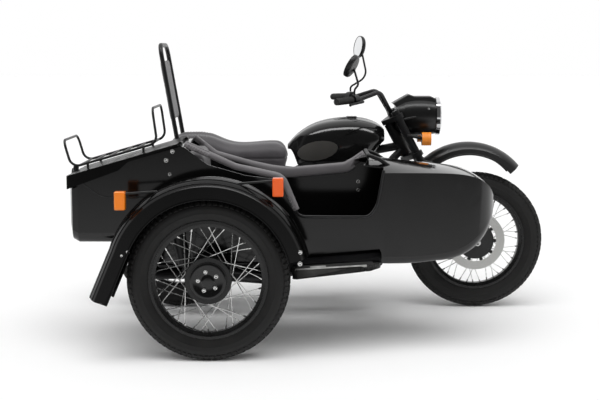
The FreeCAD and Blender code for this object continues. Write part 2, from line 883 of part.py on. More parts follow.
def damper(name, start, end):
    # an eye at each end, a lower rod, a sprung middle and an upper shroud
    length = (end - start).Length
    body = turned(name, [
        (Size(0, "0"), size.shock_eye_radius * 0.8),
        (size.shock_rod_radius, size.shock_eye_radius * 0.8),
        (size.shock_rod_radius, size.shock_eye_radius * 2),
        (size.shock_radius, size.shock_eye_radius * 2),
        (size.shock_radius, Size(length * 0.55, repr(length * 0.55))),
        (size.shock_shroud_radius, Size(length * 0.55, repr(length * 0.55))),
        (size.shock_shroud_radius, Size(length * 0.88, repr(length * 0.88))),
        (size.shock_rod_radius, Size(length * 0.92, repr(length * 0.92))),
        (size.shock_rod_radius, Size(length - size.shock_eye_radius * 0.8, repr(length - size.shock_eye_radius * 0.8))),
        (Size(0, "0"), Size(length - size.shock_eye_radius * 0.8, repr(length - size.shock_eye_radius * 0.8))),
    ], "XZ_Plane", "V_Axis")
    put(body, (start.x, start.y, start.z), FreeCAD.Rotation(Vector(0, 0, 1), end - start))
    eyes = []
    for point in (start, end):
        eyes.append(Part.makeCylinder(size.shock_eye_radius, size.shock_radius, point - Vector(0, size.shock_radius / 2, 0),
                                      Vector(0, 1, 0)))
    eye_piece = shape_piece(name + "_eyes", Part.makeCompound(eyes))
    return joined(name + "_unit", [body, eye_piece])


front_damper = damper("front_damper", Vector(shock_foot.x, -shock_side, shock_foot.z),
                      Vector(size.front_shock_top_x, -shock_side, size.front_shock_top_height))
node(group("front_damper_pair", [front_damper, twin(front_damper)]), "front_shocks")
rear_damper = damper("rear_damper", Vector(10, -size.rear_shock_half, size.tyre_radius + 30),
                     Vector(size.rear_shock_top_x, -size.rear_shock_half, size.rear_shock_top_height))
node(group("rear_damper_pair", [rear_damper, twin(rear_damper)]), "rear_shocks")

# Caliper on the right leg, behind the disc
leg_face = size.fork_spacing - size.fork_tube_radius - size.gap
caliper_inner = size.disc_offset - size.caliper_reach
caliper = Part.makeBox(size.caliper_length, leg_face - caliper_inner, size.caliper_height)
caliper = caliper.makeFillet(size.caliper_round, edges_along(caliper, "y") + edges_along(caliper, "z"))
slot_width = size.disc_wall + size.clearance * 2
slot = Part.makeBox(size.caliper_length, slot_width, size.caliper_height * 2,
                    Vector(size.caliper_throat, leg_face - size.disc_offset - slot_width / 2, -size.caliper_height / 2))
caliper = caliper.cut(slot)
caliper.translate(Vector(front_axle.x - size.disc_radius - size.caliper_back, -leg_face,
                         front_axle.z + size.caliper_lift))
node(shape_piece("caliper_body", caliper), "brake_caliper")

# Handlebar, grips, controls and mirrors
bar_end = Vector(size.bar_end_x, size.bar_end_y, size.bar_end_height)
bar_straight = size.grip_length * 1.6
bar_grip_start = Vector(size.bar_end_x + bar_straight * 0.62, size.bar_end_y - bar_straight * 0.78,
                        size.bar_end_height + 8)
bar_clamp = on_fork(upper_yoke_up + size.yoke_wall + size.bar_radius * 2, size.fork_offset * 0.6, 0)
bar_rise = Vector(bar_clamp.x - 60, 134, size.bar_end_height + 42)
half_bar = [
    bar_end,
    bar_grip_start,
    bar_rise,
    Vector(bar_clamp.x, 64, bar_clamp.z),
]
whole_bar = half_bar + [Vector(p.x, -p.y, p.z) for p in reversed(half_bar)]
bar_tube = tube(whole_bar, size.bar_radius, size.bar_radius * 4)
clamps = []
for side in (-1, 1):
    foot = on_fork(upper_yoke_up + size.yoke_wall - 1, size.fork_offset * 0.6, side * 42)
    clamps.append(rod(foot, Vector(bar_clamp.x, side * 42, bar_clamp.z + size.bar_radius), size.bar_radius * 1.5))
node(shape_piece("handlebar_tube", melted([bar_tube] + clamps).cut(fork_whole)), "handlebar")

grip_axis = (bar_grip_start - bar_end).normalize()
grip_outer = rod(bar_end - grip_axis * 8, bar_end + grip_axis * size.grip_length, size.grip_radius)
grip_hole = rod(bar_end, bar_end + grip_axis * (size.grip_length + 20), size.bar_radius + size.gap)
grip = grip_outer.cut(grip_hole)
node(shape_piece("grip_pair", Part.makeCompound([grip, both_sides(grip)])), "handlebar_grips")

pod_start = bar_end + grip_axis * (size.grip_length + 4)
pod = rod(pod_start, pod_start + grip_axis * 34, size.grip_radius * 1.5)
bar_room = rod(bar_end, pod_start + grip_axis * 60, size.bar_radius + size.gap)
lever_root = pod_start + grip_axis * 24 + Vector(26, 0, -8)
lever_tip = bar_end + Vector(62, 6, -16)
lever = tube([lever_root - Vector(22, 0, 0), lever_root + Vector(24, 0, 0), lever_tip + Vector(0, -40, 0), lever_tip], 6, 20)
control = melted([pod, lever]).cut(bar_room)
node(shape_piece("control_pair", Part.makeCompound([control, both_sides(control)])), "handlebar_controls")


def mirror_head(side, centre, tilt):
    # a round shell with a domed back, turned a little towards the rider, on its bent stem
    head = Part.makeCylinder(size.mirror_radius, size.mirror_depth, Vector(0, 0, 0), Vector(1, 0, 0))
    back_rim = [edge for edge in head.Edges if edge.BoundBox.XMin > size.mirror_depth / 2]
    head = head.makeFillet(size.mirror_round, back_rim)
    head.rotate(Vector(0, 0, 0), Vector(0, 1, 0), tilt)
    head.rotate(Vector(0, 0, 0), Vector(0, 0, 1), side * size.mirror_yaw)
    head.translate(centre)
    root = pod_start + grip_axis * size.grip_radius
    root = Vector(root.x, side * root.y, root.z + size.grip_radius * 1.5 + size.gap * 3)
    knee = Vector(centre.x + size.mirror_depth * 2, root.y, (root.z * 2 + centre.z) / 3)
    socket = root + Vector(0, 0, size.mirror_stem_radius * 5)
    stem = tube([root, socket, knee, Vector(centre.x + size.mirror_depth * 0.6, centre.y, centre.z)],
                size.mirror_stem_radius, size.mirror_radius)
    return melted([head, stem])


mirror_right = mirror_head(-1, Vector(size.mirror_right_x, -size.mirror_half, size.mirror_right_height),
                           size.mirror_right_tilt)
mirror_left = mirror_head(1, Vector(size.mirror_left_x, size.mirror_half, size.mirror_left_height),
                          size.mirror_left_tilt)
node(shape_piece("mirror_pair", Part.makeCompound([mirror_right, mirror_left])), "mirrors")

# Headlamp nacelle, rim and lens, and the front indicators
lamp_length = size.headlamp_front_x - 1092
nacelle = turned("nacelle", [
    (Size(0, "0"), Size(0, "0")),
    (size.headlamp_radius * 0.8, Size(0, "0")),
    (size.headlamp_radius, size.headlamp_radius * 0.5, size.headlamp_radius * 4),
    (size.headlamp_radius, lamp_length - size.headlamp_ring_depth),
    (Size(0, "0"), lamp_length - size.headlamp_ring_depth),
], "XZ_Plane", "V_Axis")
put(nacelle, (size.headlamp_front_x - lamp_length, 0, size.headlamp_height),
    FreeCAD.Rotation(Vector(0, 0, 1), Vector(1, 0, 0)))
ring_back = size.headlamp_front_x - size.headlamp_ring_depth
cowl = side_cut([
    (size.cowl_rear_x, size.cowl_base_height),
    (size.cowl_rear_x, size.cowl_shoulder_height),
    (size.dial_rear_x, size.dial_rear_height),
    (size.cowl_peak_x, size.cowl_peak_height),
    (size.cowl_dip_x, size.cowl_dip_height),
    (ring_back - size.headlamp_ring_depth, size.cowl_dip_height),
    (ring_back, size.headlamp_height + size.headlamp_radius),
    (ring_back, size.cowl_base_height),
], -size.cowl_half_width, size.cowl_half_width)
cowl_top_edges = [edge for edge in cowl.Edges if edge.BoundBox.YLength < size.gap
                  and edge.BoundBox.ZMax > size.dial_rear_height - size.gap
                  and edge.BoundBox.ZMin > size.cowl_shoulder_height + size.gap]
cowl = cowl.makeFillet(size.cowl_round, cowl_top_edges)
dial_slope = Vector(size.cowl_peak_x - size.dial_rear_x, 0, size.cowl_peak_height - size.dial_rear_height)
dial_middle = Vector(size.dial_rear_x, 0, size.dial_rear_height) + dial_slope / 2
dial_up = Vector(-dial_slope.z, 0, dial_slope.x).normalize()
dial_room = rod(dial_middle - dial_up * size.dial_depth, dial_middle + dial_up * size.dial_radius, size.dial_radius)
cowl = cowl.cut(dial_room)
document.recompute()
head_room = rod(on_fork(-size.head_tube_below, 0, 0), on_fork(size.head_tube_above + size.clearance, 0, 0),
                size.head_tube_radius + size.clearance)
lamp_shell = melted([nacelle.Shape, cowl]).cut(fork_whole).cut(head_room)
lamp_shell = max(lamp_shell.Solids, key=lambda solid: solid.Volume)
node(shape_piece("nacelle_shell", lamp_shell), "headlamp_shell")
ring = turned("lamp_rim", [
    (size.headlamp_radius * 0.86, Size(0, "0")),
    (size.headlamp_ring_radius, Size(0, "0")),
    (size.headlamp_ring_radius, size.headlamp_ring_depth * 0.7),
    (size.headlamp_radius * 0.86, size.headlamp_ring_depth),
], "XZ_Plane", "V_Axis")
node(ring, "headlamp_rim", (size.headlamp_front_x - size.headlamp_ring_depth + size.gap, Size(0, "0"),
                            size.headlamp_height), FreeCAD.Rotation(Vector(0, 0, 1), Vector(1, 0, 0)))
lens_radius = size.headlamp_radius * 0.86 - size.gap
lens_edge = size.headlamp_ring_depth * 0.7
lens_bend = (lens_radius * lens_radius + size.headlamp_lens_depth * size.headlamp_lens_depth) / (
    size.headlamp_lens_depth * 2)
lens = turned("lamp_lens", [
    (Size(0, "0"), Size(0, "0")),
    (lens_radius, Size(0, "0")),
    (lens_radius, lens_edge, lens_bend),
    (Size(0, "0"), lens_edge + size.headlamp_lens_depth),
], "XZ_Plane", "V_Axis")
node(lens, "headlamp_lens", (size.headlamp_front_x - size.headlamp_ring_depth + size.gap, Size(0, "0"),
                             size.headlamp_height), FreeCAD.Rotation(Vector(0, 0, 1), Vector(1, 0, 0)))
indicator = rod(Vector(size.indicator_x - size.indicator_depth, -size.indicator_y, size.indicator_height),
                Vector(size.indicator_x, -size.indicator_y, size.indicator_height), size.indicator_radius)
indicator_stem = rod(Vector(size.indicator_x - size.indicator_depth * 0.7, -size.indicator_y, size.indicator_height),
                     on_fork(36, size.fork_offset, -size.fork_spacing - size.fork_tube_radius - size.gap), 7)
indicator = melted([indicator, indicator_stem]).cut(fork_whole)
node(shape_piece("indicator_pair", Part.makeCompound([indicator, both_sides(indicator)])), "front_indicators")

# Frame: head tube, backbone, double cradle and rear rails
frame_pieces = []
head_tube = rod(on_fork(-size.head_tube_below, 0, 0), on_fork(size.head_tube_above, 0, 0), size.head_tube_radius)
backbone_height = size.tank_base_height - size.backbone_radius * 0.6
backbone = tube([on_fork(-6, 0, 0), Vector(960, 0, backbone_height), Vector(700, 0, backbone_height),
                 Vector(600, 0, 690), Vector(430, 0, 680)], size.backbone_radius, 120)
frame_pieces += [head_tube, backbone]
for side in (-1, 1):
    half = side * size.cradle_half
    cradle = tube([
        on_fork(-26, -6, side * 12),
        on_fork(-50, -80, side * 40),
        Vector(1050, half, 600),
        Vector(1030, half, size.cradle_height),
        Vector(430, half, size.cradle_height),
        Vector(330, half, 420),
        Vector(360, half, size.seat_rail_height - 20),
        Vector(460, half, size.seat_rail_height - 4),
    ], size.frame_tube_radius, 90)
    rail = tube([
        Vector(610, side * 14, 694),
        Vector(470, half, size.seat_rail_height),
        Vector(size.rear_shock_top_x, side * size.seat_rail_half, size.seat_rail_height),
        Vector(-60, side * size.seat_rail_half, size.seat_rail_height),
    ], size.frame_tube_radius, 90)
    stay = tube([
        Vector(340, half, 430),
        Vector(size.rear_shock_top_x, side * size.seat_rail_half, size.seat_rail_height),
    ], size.frame_tube_radius * 0.7, 40)
    frame_pieces += [cradle, rail, stay]
    frame_pieces.append(Part.makeCylinder(9, size.rear_shock_half - size.seat_rail_half - size.shock_radius / 2 - size.gap,
                                          Vector(size.rear_shock_top_x, side * size.seat_rail_half,
                                                 size.rear_shock_top_height),
                                          Vector(0, side, 0)))
for x, z, radius in ((950, size.cradle_height, size.frame_tube_radius * 0.8),
                     (size.stand_pivot_x, size.cradle_height, size.stand_pin_radius),
                     (size.swing_pivot_x, size.swing_pivot_height, size.frame_tube_radius * 0.8),
                     (430, 680, size.frame_tube_radius * 0.8)):
    frame_pieces.append(rod(Vector(x, -size.cradle_half, z), Vector(x, size.cradle_half, z), radius))
case_base = size.crank_height - size.crankcase_half_height
for side in (-1, 1):
    lug_offset = size.crankcase_half_length - size.crankcase_radius - size.engine_lug_radius
    lug_y = side * (size.crankcase_half_width - size.crankcase_radius)
    pad_base = case_base - size.gap - size.engine_lug_radius
    for offset in (-lug_offset, lug_offset):
        lug_x = size.crank_x + offset
        frame_pieces.append(rod(Vector(lug_x, side * size.cradle_half, size.cradle_height),
                                Vector(lug_x, lug_y, pad_base), size.engine_lug_radius * 0.8))
        frame_pieces.append(Part.makeCylinder(size.engine_lug_radius, size.engine_lug_radius * 2,
                                              Vector(lug_x, lug_y, pad_base - size.engine_lug_radius)))
fender_side = size.rear_fender_half + size.gap
for side in (-1, 1):
    frame_pieces.append(rod(Vector(-40, side * size.seat_rail_half, size.seat_rail_height),
                            Vector(-40, side * fender_side, 660), 8))
    frame_pieces.append(rod(Vector(size.swing_pivot_x, side * size.cradle_half, size.swing_pivot_height),
                            Vector(350, side * size.cradle_half, size.swing_pivot_height), 12))
holder = melted(frame_pieces).cut(rear_guard)
holder = max(holder.Solids, key=lambda solid: solid.Volume)
bore = rod(on_fork(-size.head_tube_below * 2, 0, 0), on_fork(size.head_tube_above * 2, 0, 0),
           stem_radius + size.shaft_fit)
node(shape_piece("frame_tubes", holder.cut(bore)), "frame")

# Engine: crankcase with clutch housing and gearbox in line, flat twin cylinders
case_points = [
    (-size.crankcase_half_length, -size.crankcase_half_height),
    (size.crankcase_half_length, -size.crankcase_half_height),
    (size.crankcase_half_length, size.crankcase_half_height),
    (-size.crankcase_half_length, size.crankcase_half_height),
]
crankcase = put(plate("crankcase", case_points, size.crankcase_half_width * 2, "XZ_Plane", True,
                      size.crankcase_radius), (size.crank_x, 0, size.crank_height))
bell = shape_piece("bell_housing", Part.makeCone(
    size.gearbox_half_height, size.bell_radius, size.bell_length,
    Vector(size.crank_x - size.crankcase_half_length - size.bell_length, 0, size.crank_height), Vector(1, 0, 0)))
gearbox = shape_piece("gearbox_case", Part.makeBox(
    size.gearbox_length, size.gearbox_half_width * 2, size.gearbox_half_height * 1.8,
    Vector(size.crank_x - size.crankcase_half_length - size.bell_length - size.gearbox_length,
           -size.gearbox_half_width, size.crank_height - size.gearbox_half_height)))
sump_half_length = size.crankcase_half_length * 0.85
sump_half_width = size.crankcase_half_width * 0.62
sump_top = size.crank_height - size.crankcase_half_height + size.crankcase_radius
sump_body = Part.makeBox(sump_half_length * 2, sump_half_width * 2, size.sump_depth + size.crankcase_radius,
                         Vector(size.crank_x - sump_half_length, -sump_half_width,
                                sump_top - size.sump_depth - size.crankcase_radius))
sump_ribs = []
for index in range(int(size.sump_rib_count)):
    rib_y = sump_half_width * 1.8 * ((index + 0.5) / size.sump_rib_count - 0.5)
    sump_ribs.append(Part.makeBox(sump_half_length * 1.8, size.sump_rib_wall, size.sump_rib_depth * 2,
                                  Vector(size.crank_x - sump_half_length * 0.9, rib_y - size.sump_rib_wall / 2,
                                         case_base - size.sump_depth - size.sump_rib_depth)))
sump = shape_piece("sump", melted([sump_body] + sump_ribs))
timing_cover = Part.makeCylinder(size.bell_radius * 0.62, size.timing_cover_depth + size.crankcase_radius,
                                 Vector(size.crank_x + size.crankcase_half_length - size.crankcase_radius, 0,
                                        size.crank_height), Vector(1, 0, 0))
cover_rim = [edge for edge in timing_cover.Edges
             if edge.BoundBox.XMin > size.crank_x + size.crankcase_half_length + size.gap]
nose_cover = shape_piece("timing_cover", timing_cover.makeFillet(size.timing_cover_depth / 3, cover_rim))
node(joined("engine_case", [crankcase, bell, gearbox, sump, nose_cover]), "engine_block")


def cylinder_pack(side):
    x = size.crank_x + side * size.cylinder_stagger / 2
    base = Vector(x, side * size.crankcase_half_width, size.crank_height)
    pieces = [Part.makeCylinder(size.barrel_radius, size.barrel_length, base, Vector(0, side, 0))]
    for index in range(int(size.fin_count)):
        y = size.fin_pitch * (index + 0.7)
        fin = Part.makeBox(size.fin_half * 2, size.fin_wall, size.fin_half * 2)
        fin = fin.makeFillet(size.fin_corner, [e for e in fin.Edges
                                               if abs(e.tangentAt(e.FirstParameter).y) > 0.9])
        fin.translate(Vector(x - size.fin_half, side * (size.crankcase_half_width + y) - size.fin_wall / 2,
                             size.crank_height - size.fin_half))
        pieces.append(fin)
    head = Part.makeBox(size.head_half * 2, size.head_length, size.head_half * 2)
    head = head.makeFillet(size.fin_corner, [e for e in head.Edges
                                             if abs(e.tangentAt(e.FirstParameter).y) > 0.9])
    y = size.crankcase_half_width + size.barrel_length
    head.translate(Vector(x - size.head_half, y if side > 0 else -y - size.head_length,
                          size.crank_height - size.head_half))
    pieces.append(head)
    return melted(pieces)


cylinder_left, cylinder_right = cylinder_pack(1), cylinder_pack(-1)
cylinder_set = Part.makeCompound([cylinder_left, cylinder_right])
node(shape_piece("cylinder_pair", cylinder_set), "engine_cylinders")
cover_points = [
    (-size.rocker_half_length, -size.rocker_half_height),
    (size.rocker_half_length, -size.rocker_half_height),
    (size.rocker_half_length, size.rocker_half_height),
    (-size.rocker_half_length, size.rocker_half_height),
]
cover_y = size.crankcase_half_width + size.barrel_length + size.head_length
covers = []
for side, name in ((1, "left"), (-1, "right")):
    cover = plate(name + "_rocker", cover_points, size.rocker_depth, "XZ_Plane", True, size.rocker_round)
    centre_y = side * (cover_y + size.rocker_depth / 2)
    cover_x = size.crank_x + side * size.cylinder_stagger / 2
    put(cover, (cover_x, centre_y, size.crank_height))
    ribs = []
    for level in (-1, 0, 1):
        rib = Part.makeBox((size.rocker_half_length - size.rocker_round) * 2, size.rocker_rib_depth * 2,
                           size.rocker_rib_wall)
        rib.translate(Vector(cover_x - size.rocker_half_length + size.rocker_round,
                             side * (cover_y + size.rocker_depth) - size.rocker_rib_depth,
                             size.crank_height + level * size.rocker_half_height / 2 - size.rocker_rib_wall / 2))
        ribs.append(rib)
    rib_set = shape_piece(name + "_rocker_ribs", Part.makeCompound(ribs))
    covers.append(joined(name + "_rocker_cover", [cover, rib_set]))
node(group("rocker_pair", covers), "rocker_covers")

# Carburettors and air box
intake_y = size.crankcase_half_width + size.barrel_length + size.head_length / 2
carburettor = melted([
    rod(Vector(size.crank_x - size.head_half, -intake_y, size.crank_height + 20),
        Vector(size.crank_x - size.head_half - 80, -intake_y + 30, size.crank_height + 46), 24),
    rod(Vector(size.crank_x - size.head_half - 44, -intake_y + 14, size.crank_height - 22),
        Vector(size.crank_x - size.head_half - 44, -intake_y + 14, size.crank_height + 92), size.carburettor_radius),
])
carburettor_right = carburettor.cut(cylinder_right)
carburettor_left = both_sides(carburettor).cut(cylinder_left)
node(shape_piece("carburettor_pair", Part.makeCompound([carburettor_right, carburettor_left])), "carburettors")
box_front = size.crank_x - size.crankcase_half_length - size.bell_length
air_box = Part.makeBox(180, 170, 130, Vector(box_front - 200, -85, size.crank_height + size.gearbox_half_height + 6))
hose = tube([Vector(box_front - 60, -60, size.crank_height + 140), Vector(box_front - 10, -130, size.crank_height + 130),
             Vector(size.crank_x - size.head_half - 82, -intake_y + 32, size.crank_height + 48)], 22, 60)
hoses = [hose, both_sides(hose)]
air_box_whole = melted([air_box] + hoses).cut(carburettor_right).cut(carburettor_left)
node(shape_piece("air_box_shell", max(air_box_whole.Solids, key=lambda solid: solid.Volume)), "air_box")

# Exhausts
exhaust_list = []
for side in (-1, 1):
    y = side * (size.crankcase_half_width + size.barrel_length + size.head_length / 2)
    pipe = tube([
        Vector(size.crank_x + size.head_half * 0.7, y, size.crank_height - 20),
        Vector(size.crank_x + size.head_half + 60, y, size.crank_height - 34),
        Vector(size.crank_x + size.head_half + 50, side * size.exhaust_half, size.silencer_height - 14),
        Vector(560, side * size.exhaust_half, size.silencer_height),
        Vector(size.silencer_end_x + size.silencer_length - 20, side * size.exhaust_half, size.silencer_height),
    ], size.exhaust_radius, 80)
    pipe = pipe.cut(cylinder_left if side > 0 else cylinder_right)
    pipe = max(pipe.Solids, key=lambda solid: solid.Volume)
    exhaust_list.append(pipe)
silencer_points = [
    (Size(0, "0"), Size(0, "0")),
    (size.exhaust_radius * 0.8, Size(0, "0")),
    (size.silencer_radius, size.silencer_length * 0.12),
    (size.silencer_radius, size.silencer_length * 0.82),
    (size.exhaust_radius, size.silencer_length),
    (Size(0, "0"), size.silencer_length),
]
silencers = []
for side, name in ((1, "left"), (-1, "right")):
    silencer = turned(name + "_silencer", silencer_points, "XZ_Plane", "V_Axis")
    silencers.append(put(silencer, (size.silencer_end_x, side * size.exhaust_half, size.silencer_height),
                         FreeCAD.Rotation(Vector(0, 0, 1), Vector(1, 0, 0))))
pipes = shape_piece("exhaust_pipes", Part.makeCompound(exhaust_list))
node(joined("exhaust_set", silencers + [pipes]), "exhausts")

# Swinging arm with the drive shaft in its right leg, and the final drive
swing_pivot = Vector(size.swing_pivot_x, 0, size.swing_pivot_height)
pivot_sleeve = rod(swing_pivot + Vector(0, -size.drive_offset, 0), swing_pivot + Vector(0, size.drive_offset, 0),
                   size.swing_tube_radius)
arm_set = [pivot_sleeve]
for side in (-1, 1):
    arm_set.append(rod(swing_pivot + Vector(0, side * size.drive_offset, 0),
                       rear_axle + Vector(0, side * size.drive_offset, 0), size.swing_tube_radius))
arm_set.append(Part.makeCylinder(size.final_drive_radius, size.final_drive_half * 2,
                                 Vector(0, -size.drive_offset - size.final_drive_half, size.tyre_radius),
                                 Vector(0, 1, 0)))
arm_set.append(Part.makeCylinder(size.swing_tube_radius * 1.4, size.swing_tube_radius * 2,
                                 Vector(0, size.drive_offset - size.swing_tube_radius, size.tyre_radius),
                                 Vector(0, 1, 0)))
arm_set.append(Part.makeCylinder(size.axle_radius, size.drive_offset * 2,
                                 Vector(0, -size.drive_offset, size.tyre_radius), Vector(0, 1, 0)))
for side in (-1, 1):
    arm_set.append(rod(Vector(10, side * size.drive_offset, size.tyre_radius + 30),
                       Vector(10, side * (size.rear_shock_half - size.shock_radius / 2 - size.gap), size.tyre_radius + 30), 9))
    arm_set.append(rod(Vector(10, side * size.drive_offset, size.tyre_radius + 30),
                       Vector(10, side * size.drive_offset, size.tyre_radius), 14))
swing_arm = melted(arm_set).cut(rod(swing_pivot - Vector(0, size.cradle_half, 0),
                                    swing_pivot + Vector(0, size.cradle_half, 0),
                                    size.frame_tube_radius * 0.8 + size.shaft_fit))
node(shape_piece("swing_arm_set", swing_arm), "swing_arm")

# Tank, saddle, side covers and passenger backrest
tank_stations = (
    # share of length, share of height at the base, share of height at the top, share of half width
    (0.0, 0.02, 0.16, 0.18),
    (0.07, 0.0, 0.40, 0.42),
    (0.25, 0.0, 0.78, 0.74),
    (0.50, 0.0, 0.98, 0.96),
    (0.74, 0.04, 1.0, 1.0),
    (0.91, 0.14, 0.86, 0.82),
    (1.0, 0.30, 0.66, 0.52),
)
ring_shares = ((0.0, 1.0), (0.62, 0.88), (0.93, 0.56), (1.0, 0.26), (0.86, 0.04), (0.40, 0.0),
               (-0.40, 0.0), (-0.86, 0.04), (-1.0, 0.26), (-0.93, 0.56), (-0.62, 0.88))


def skinned(stations, x_start, x_end, low, high, half, shares, ruled=False):
    rings = []
    for along, base, top, wide in stations:
        x = x_start + (x_end - x_start) * along
        bottom = low + (high - low) * base
        height = (high - low) * (top - base)
        rings.append(smooth_ring([Vector(x, half * wide * across, bottom + height * up) for across, up in shares]))
    return Part.makeLoft(rings, True, ruled)


tank = skinned(tank_stations, size.tank_rear_x, size.tank_front_x, size.tank_base_height, size.tank_top_height,
               size.tank_half_width, ring_shares)
tank = tank.cut(holder)
tank = max(tank.Solids, key=lambda solid: solid.Volume)
cap_top = size.tank_top_height + size.tank_cap_height / 2
filler_cap = Part.makeCylinder(size.tank_cap_radius, size.tank_cap_height * 2,
                               Vector(size.tank_cap_x, 0, cap_top - size.tank_cap_height * 2))
cap_rim = [edge for edge in filler_cap.Edges if edge.BoundBox.ZMin > cap_top - size.gap]
tank = melted([tank, filler_cap.makeFillet(size.tank_cap_round, cap_rim)])
node(shape_piece("tank_shell", tank), "fuel_tank")
saddle_stations = (
    (0.0, 0.16, 0.74, 0.80),
    (0.06, 0.02, 0.92, 0.92),
    (0.20, 0.0, 1.0, 0.98),
    (0.33, 0.0, 0.97, 0.98),
    (0.50, 0.0, 0.77, 0.98),
    (0.90, 0.0, 0.76, 0.96),
    (0.97, 0.0, 0.70, 0.90),
    (1.0, 0.14, 0.50, 0.80),
)
saddle_shares = ((0.0, 1.0), (0.66, 0.97), (0.95, 0.78), (1.0, 0.42), (0.94, 0.06), (0.45, 0.0),
                 (-0.45, 0.0), (-0.94, 0.06), (-1.0, 0.42), (-0.95, 0.78), (-0.66, 0.97))
saddle_base = size.seat_rail_height + size.frame_tube_radius + size.gap
saddle = skinned(saddle_stations, size.saddle_rear_x, size.saddle_front_x, size.seat_rail_height,
                 size.saddle_top_height, size.saddle_half_width, saddle_shares)
below_rails = Part.makeBox(size.wheel_base, size.saddle_half_width * 4, size.seat_rail_height,
                           Vector(-size.wheel_base / 2, -size.saddle_half_width * 2,
                                  saddle_base - size.seat_rail_height))
saddle = saddle.cut(below_rails)
node(shape_piece("saddle_cushion", saddle), "saddle")
cover_inner = size.cradle_half + size.frame_tube_radius + size.gap
side_cover = Part.makeBox(250, 14, 190, Vector(140, -cover_inner - 14, 482))
side_cover = side_cover.makeFillet(40, [e for e in side_cover.Edges if abs(e.tangentAt(e.FirstParameter).y) > 0.9])
node(shape_piece("side_cover_pair", Part.makeCompound([side_cover, both_sides(side_cover)])), "side_covers")

lean = math.radians(size.hoop_lean)
hoop_height = size.hoop_top_height - size.seat_rail_height
hoop_top_x = size.hoop_foot_x - hoop_height * math.tan(lean)
hoop_out = size.hoop_half
hoop = tube([
    Vector(size.hoop_foot_x, -hoop_out, size.seat_rail_height - 20),
    Vector(hoop_top_x, -hoop_out, size.hoop_top_height - size.hoop_tube_radius),
    Vector(hoop_top_x, hoop_out, size.hoop_top_height - size.hoop_tube_radius),
    Vector(size.hoop_foot_x, hoop_out, size.seat_rail_height - 20),
], size.hoop_tube_radius, 60)
hoop_lugs = []
for side in (-1, 1):
    lug_x = size.hoop_foot_x
    hoop_lugs.append(rod(Vector(lug_x, side * hoop_out, size.seat_rail_height - 8),
                         Vector(lug_x, side * (size.seat_rail_half + size.frame_tube_radius + size.gap),
                                size.seat_rail_height - 8), 9))
hoop_whole = melted([hoop] + hoop_lugs)
node(shape_piece("backrest_hoop", hoop_whole), "backrest_frame")
pad_half = hoop_out - size.hoop_tube_radius - size.gap
pad = Part.makeBox(size.hoop_pad_depth, pad_half * 2, 300)
pad = pad.makeFillet(14, pad.Edges)
pad.translate(Vector(0, -pad_half, 0))
pad.rotate(Vector(0, 0, 0), Vector(0, 1, 0), -size.hoop_lean)
pad_height = 955
pad.translate(Vector(size.hoop_foot_x - (pad_height - size.seat_rail_height) * math.tan(lean)
                     - size.hoop_pad_depth / 2, 0, pad_height))
node(shape_piece("backrest_cushion", pad), "backrest_pad")

# Tail lamp on the rear mudguard
tail_centre = Vector(-352, 0, 560)
tail = Part.makeBox(64, 90, 64, tail_centre - Vector(32, 45, 32))
tail_foot = rod(tail_centre, Vector(tail_centre.x + 70, 0, tail_centre.z), 22)
tail = melted([tail.makeFillet(12, tail.Edges), tail_foot]).cut(rear_guard)
tail = max(tail.Solids, key=lambda solid: solid.Volume)
node(shape_piece("tail_lamp_body", tail), "tail_lamp")

# Foot pegs and pedals
peg_set = []
peg_inner = size.cradle_half + size.frame_tube_radius + size.gap
for side in (-1, 1):
    for x, z in ((size.peg_front_x, size.cradle_height), (size.peg_rear_x, size.peg_rear_height)):
        start = Vector(x, side * peg_inner, z)
        peg = rod(start, start + Vector(0, side * size.peg_length, 0), size.peg_radius)
        if x > size.peg_rear_x:
            # each front peg carries a pedal ahead of it
            pedal_y = side * (peg_inner + size.peg_radius)
            heel = Vector(x, pedal_y, z)
            toe = Vector(x + size.pedal_reach, pedal_y, z + size.pedal_rise)
            arm = tube([heel, Vector((heel.x + toe.x) / 2, pedal_y, z), toe], size.pedal_radius, size.pedal_reach)
            pad_end = toe + Vector(0, side * size.pedal_pad_length, 0)
            pedal_pad = rod(toe - Vector(0, side * size.pedal_radius, 0), pad_end, size.pedal_radius * 1.4)
            peg = melted([peg, arm, pedal_pad])
        peg_set.append(peg)
node(shape_piece("foot_peg_set", Part.makeCompound(peg_set)), "foot_pegs")

# Centre stand, folded up under the gearbox
stand_pivot = Vector(size.stand_pivot_x, 0, size.cradle_height)
stand_fold = math.radians(12)
foot_offset = Vector(-math.cos(stand_fold), 0, -math.sin(stand_fold)) * size.stand_leg_length
stand_sleeve = size.stand_pin_radius * 1.8
stand_set = [rod(stand_pivot + Vector(0, -size.stand_half, 0), stand_pivot + Vector(0, size.stand_half, 0),
                 stand_sleeve)]
for side in (-1, 1):
    hinge = stand_pivot + Vector(0, side * (size.stand_half - size.stand_tube_radius), 0)
    foot = hinge + foot_offset
    stand_set.append(rod(hinge, foot, size.stand_tube_radius))
    stand_set.append(rod(foot - Vector(20, 0, 0), foot + Vector(34, 0, 0), size.stand_tube_radius))
brace = stand_pivot + foot_offset * 0.6
stand_set.append(rod(brace - Vector(0, size.stand_half - 12, 0), brace + Vector(0, size.stand_half - 12, 0), 9))
stand_bore = rod(stand_pivot + Vector(0, -size.cradle_half, 0), stand_pivot + Vector(0, size.cradle_half, 0),
                 size.stand_pin_radius + size.shaft_fit)
node(shape_piece("stand_tubes", melted(stand_set).cut(stand_bore)), "centre_stand")


# Sidecar body: a hollow tub with the luggage trunk behind the seat
hinge_x = size.trunk_front_x - size.lid_hinge_radius
hinge_z = size.trunk_front_height + size.lid_hinge_radius + size.lid_wall * 0.5

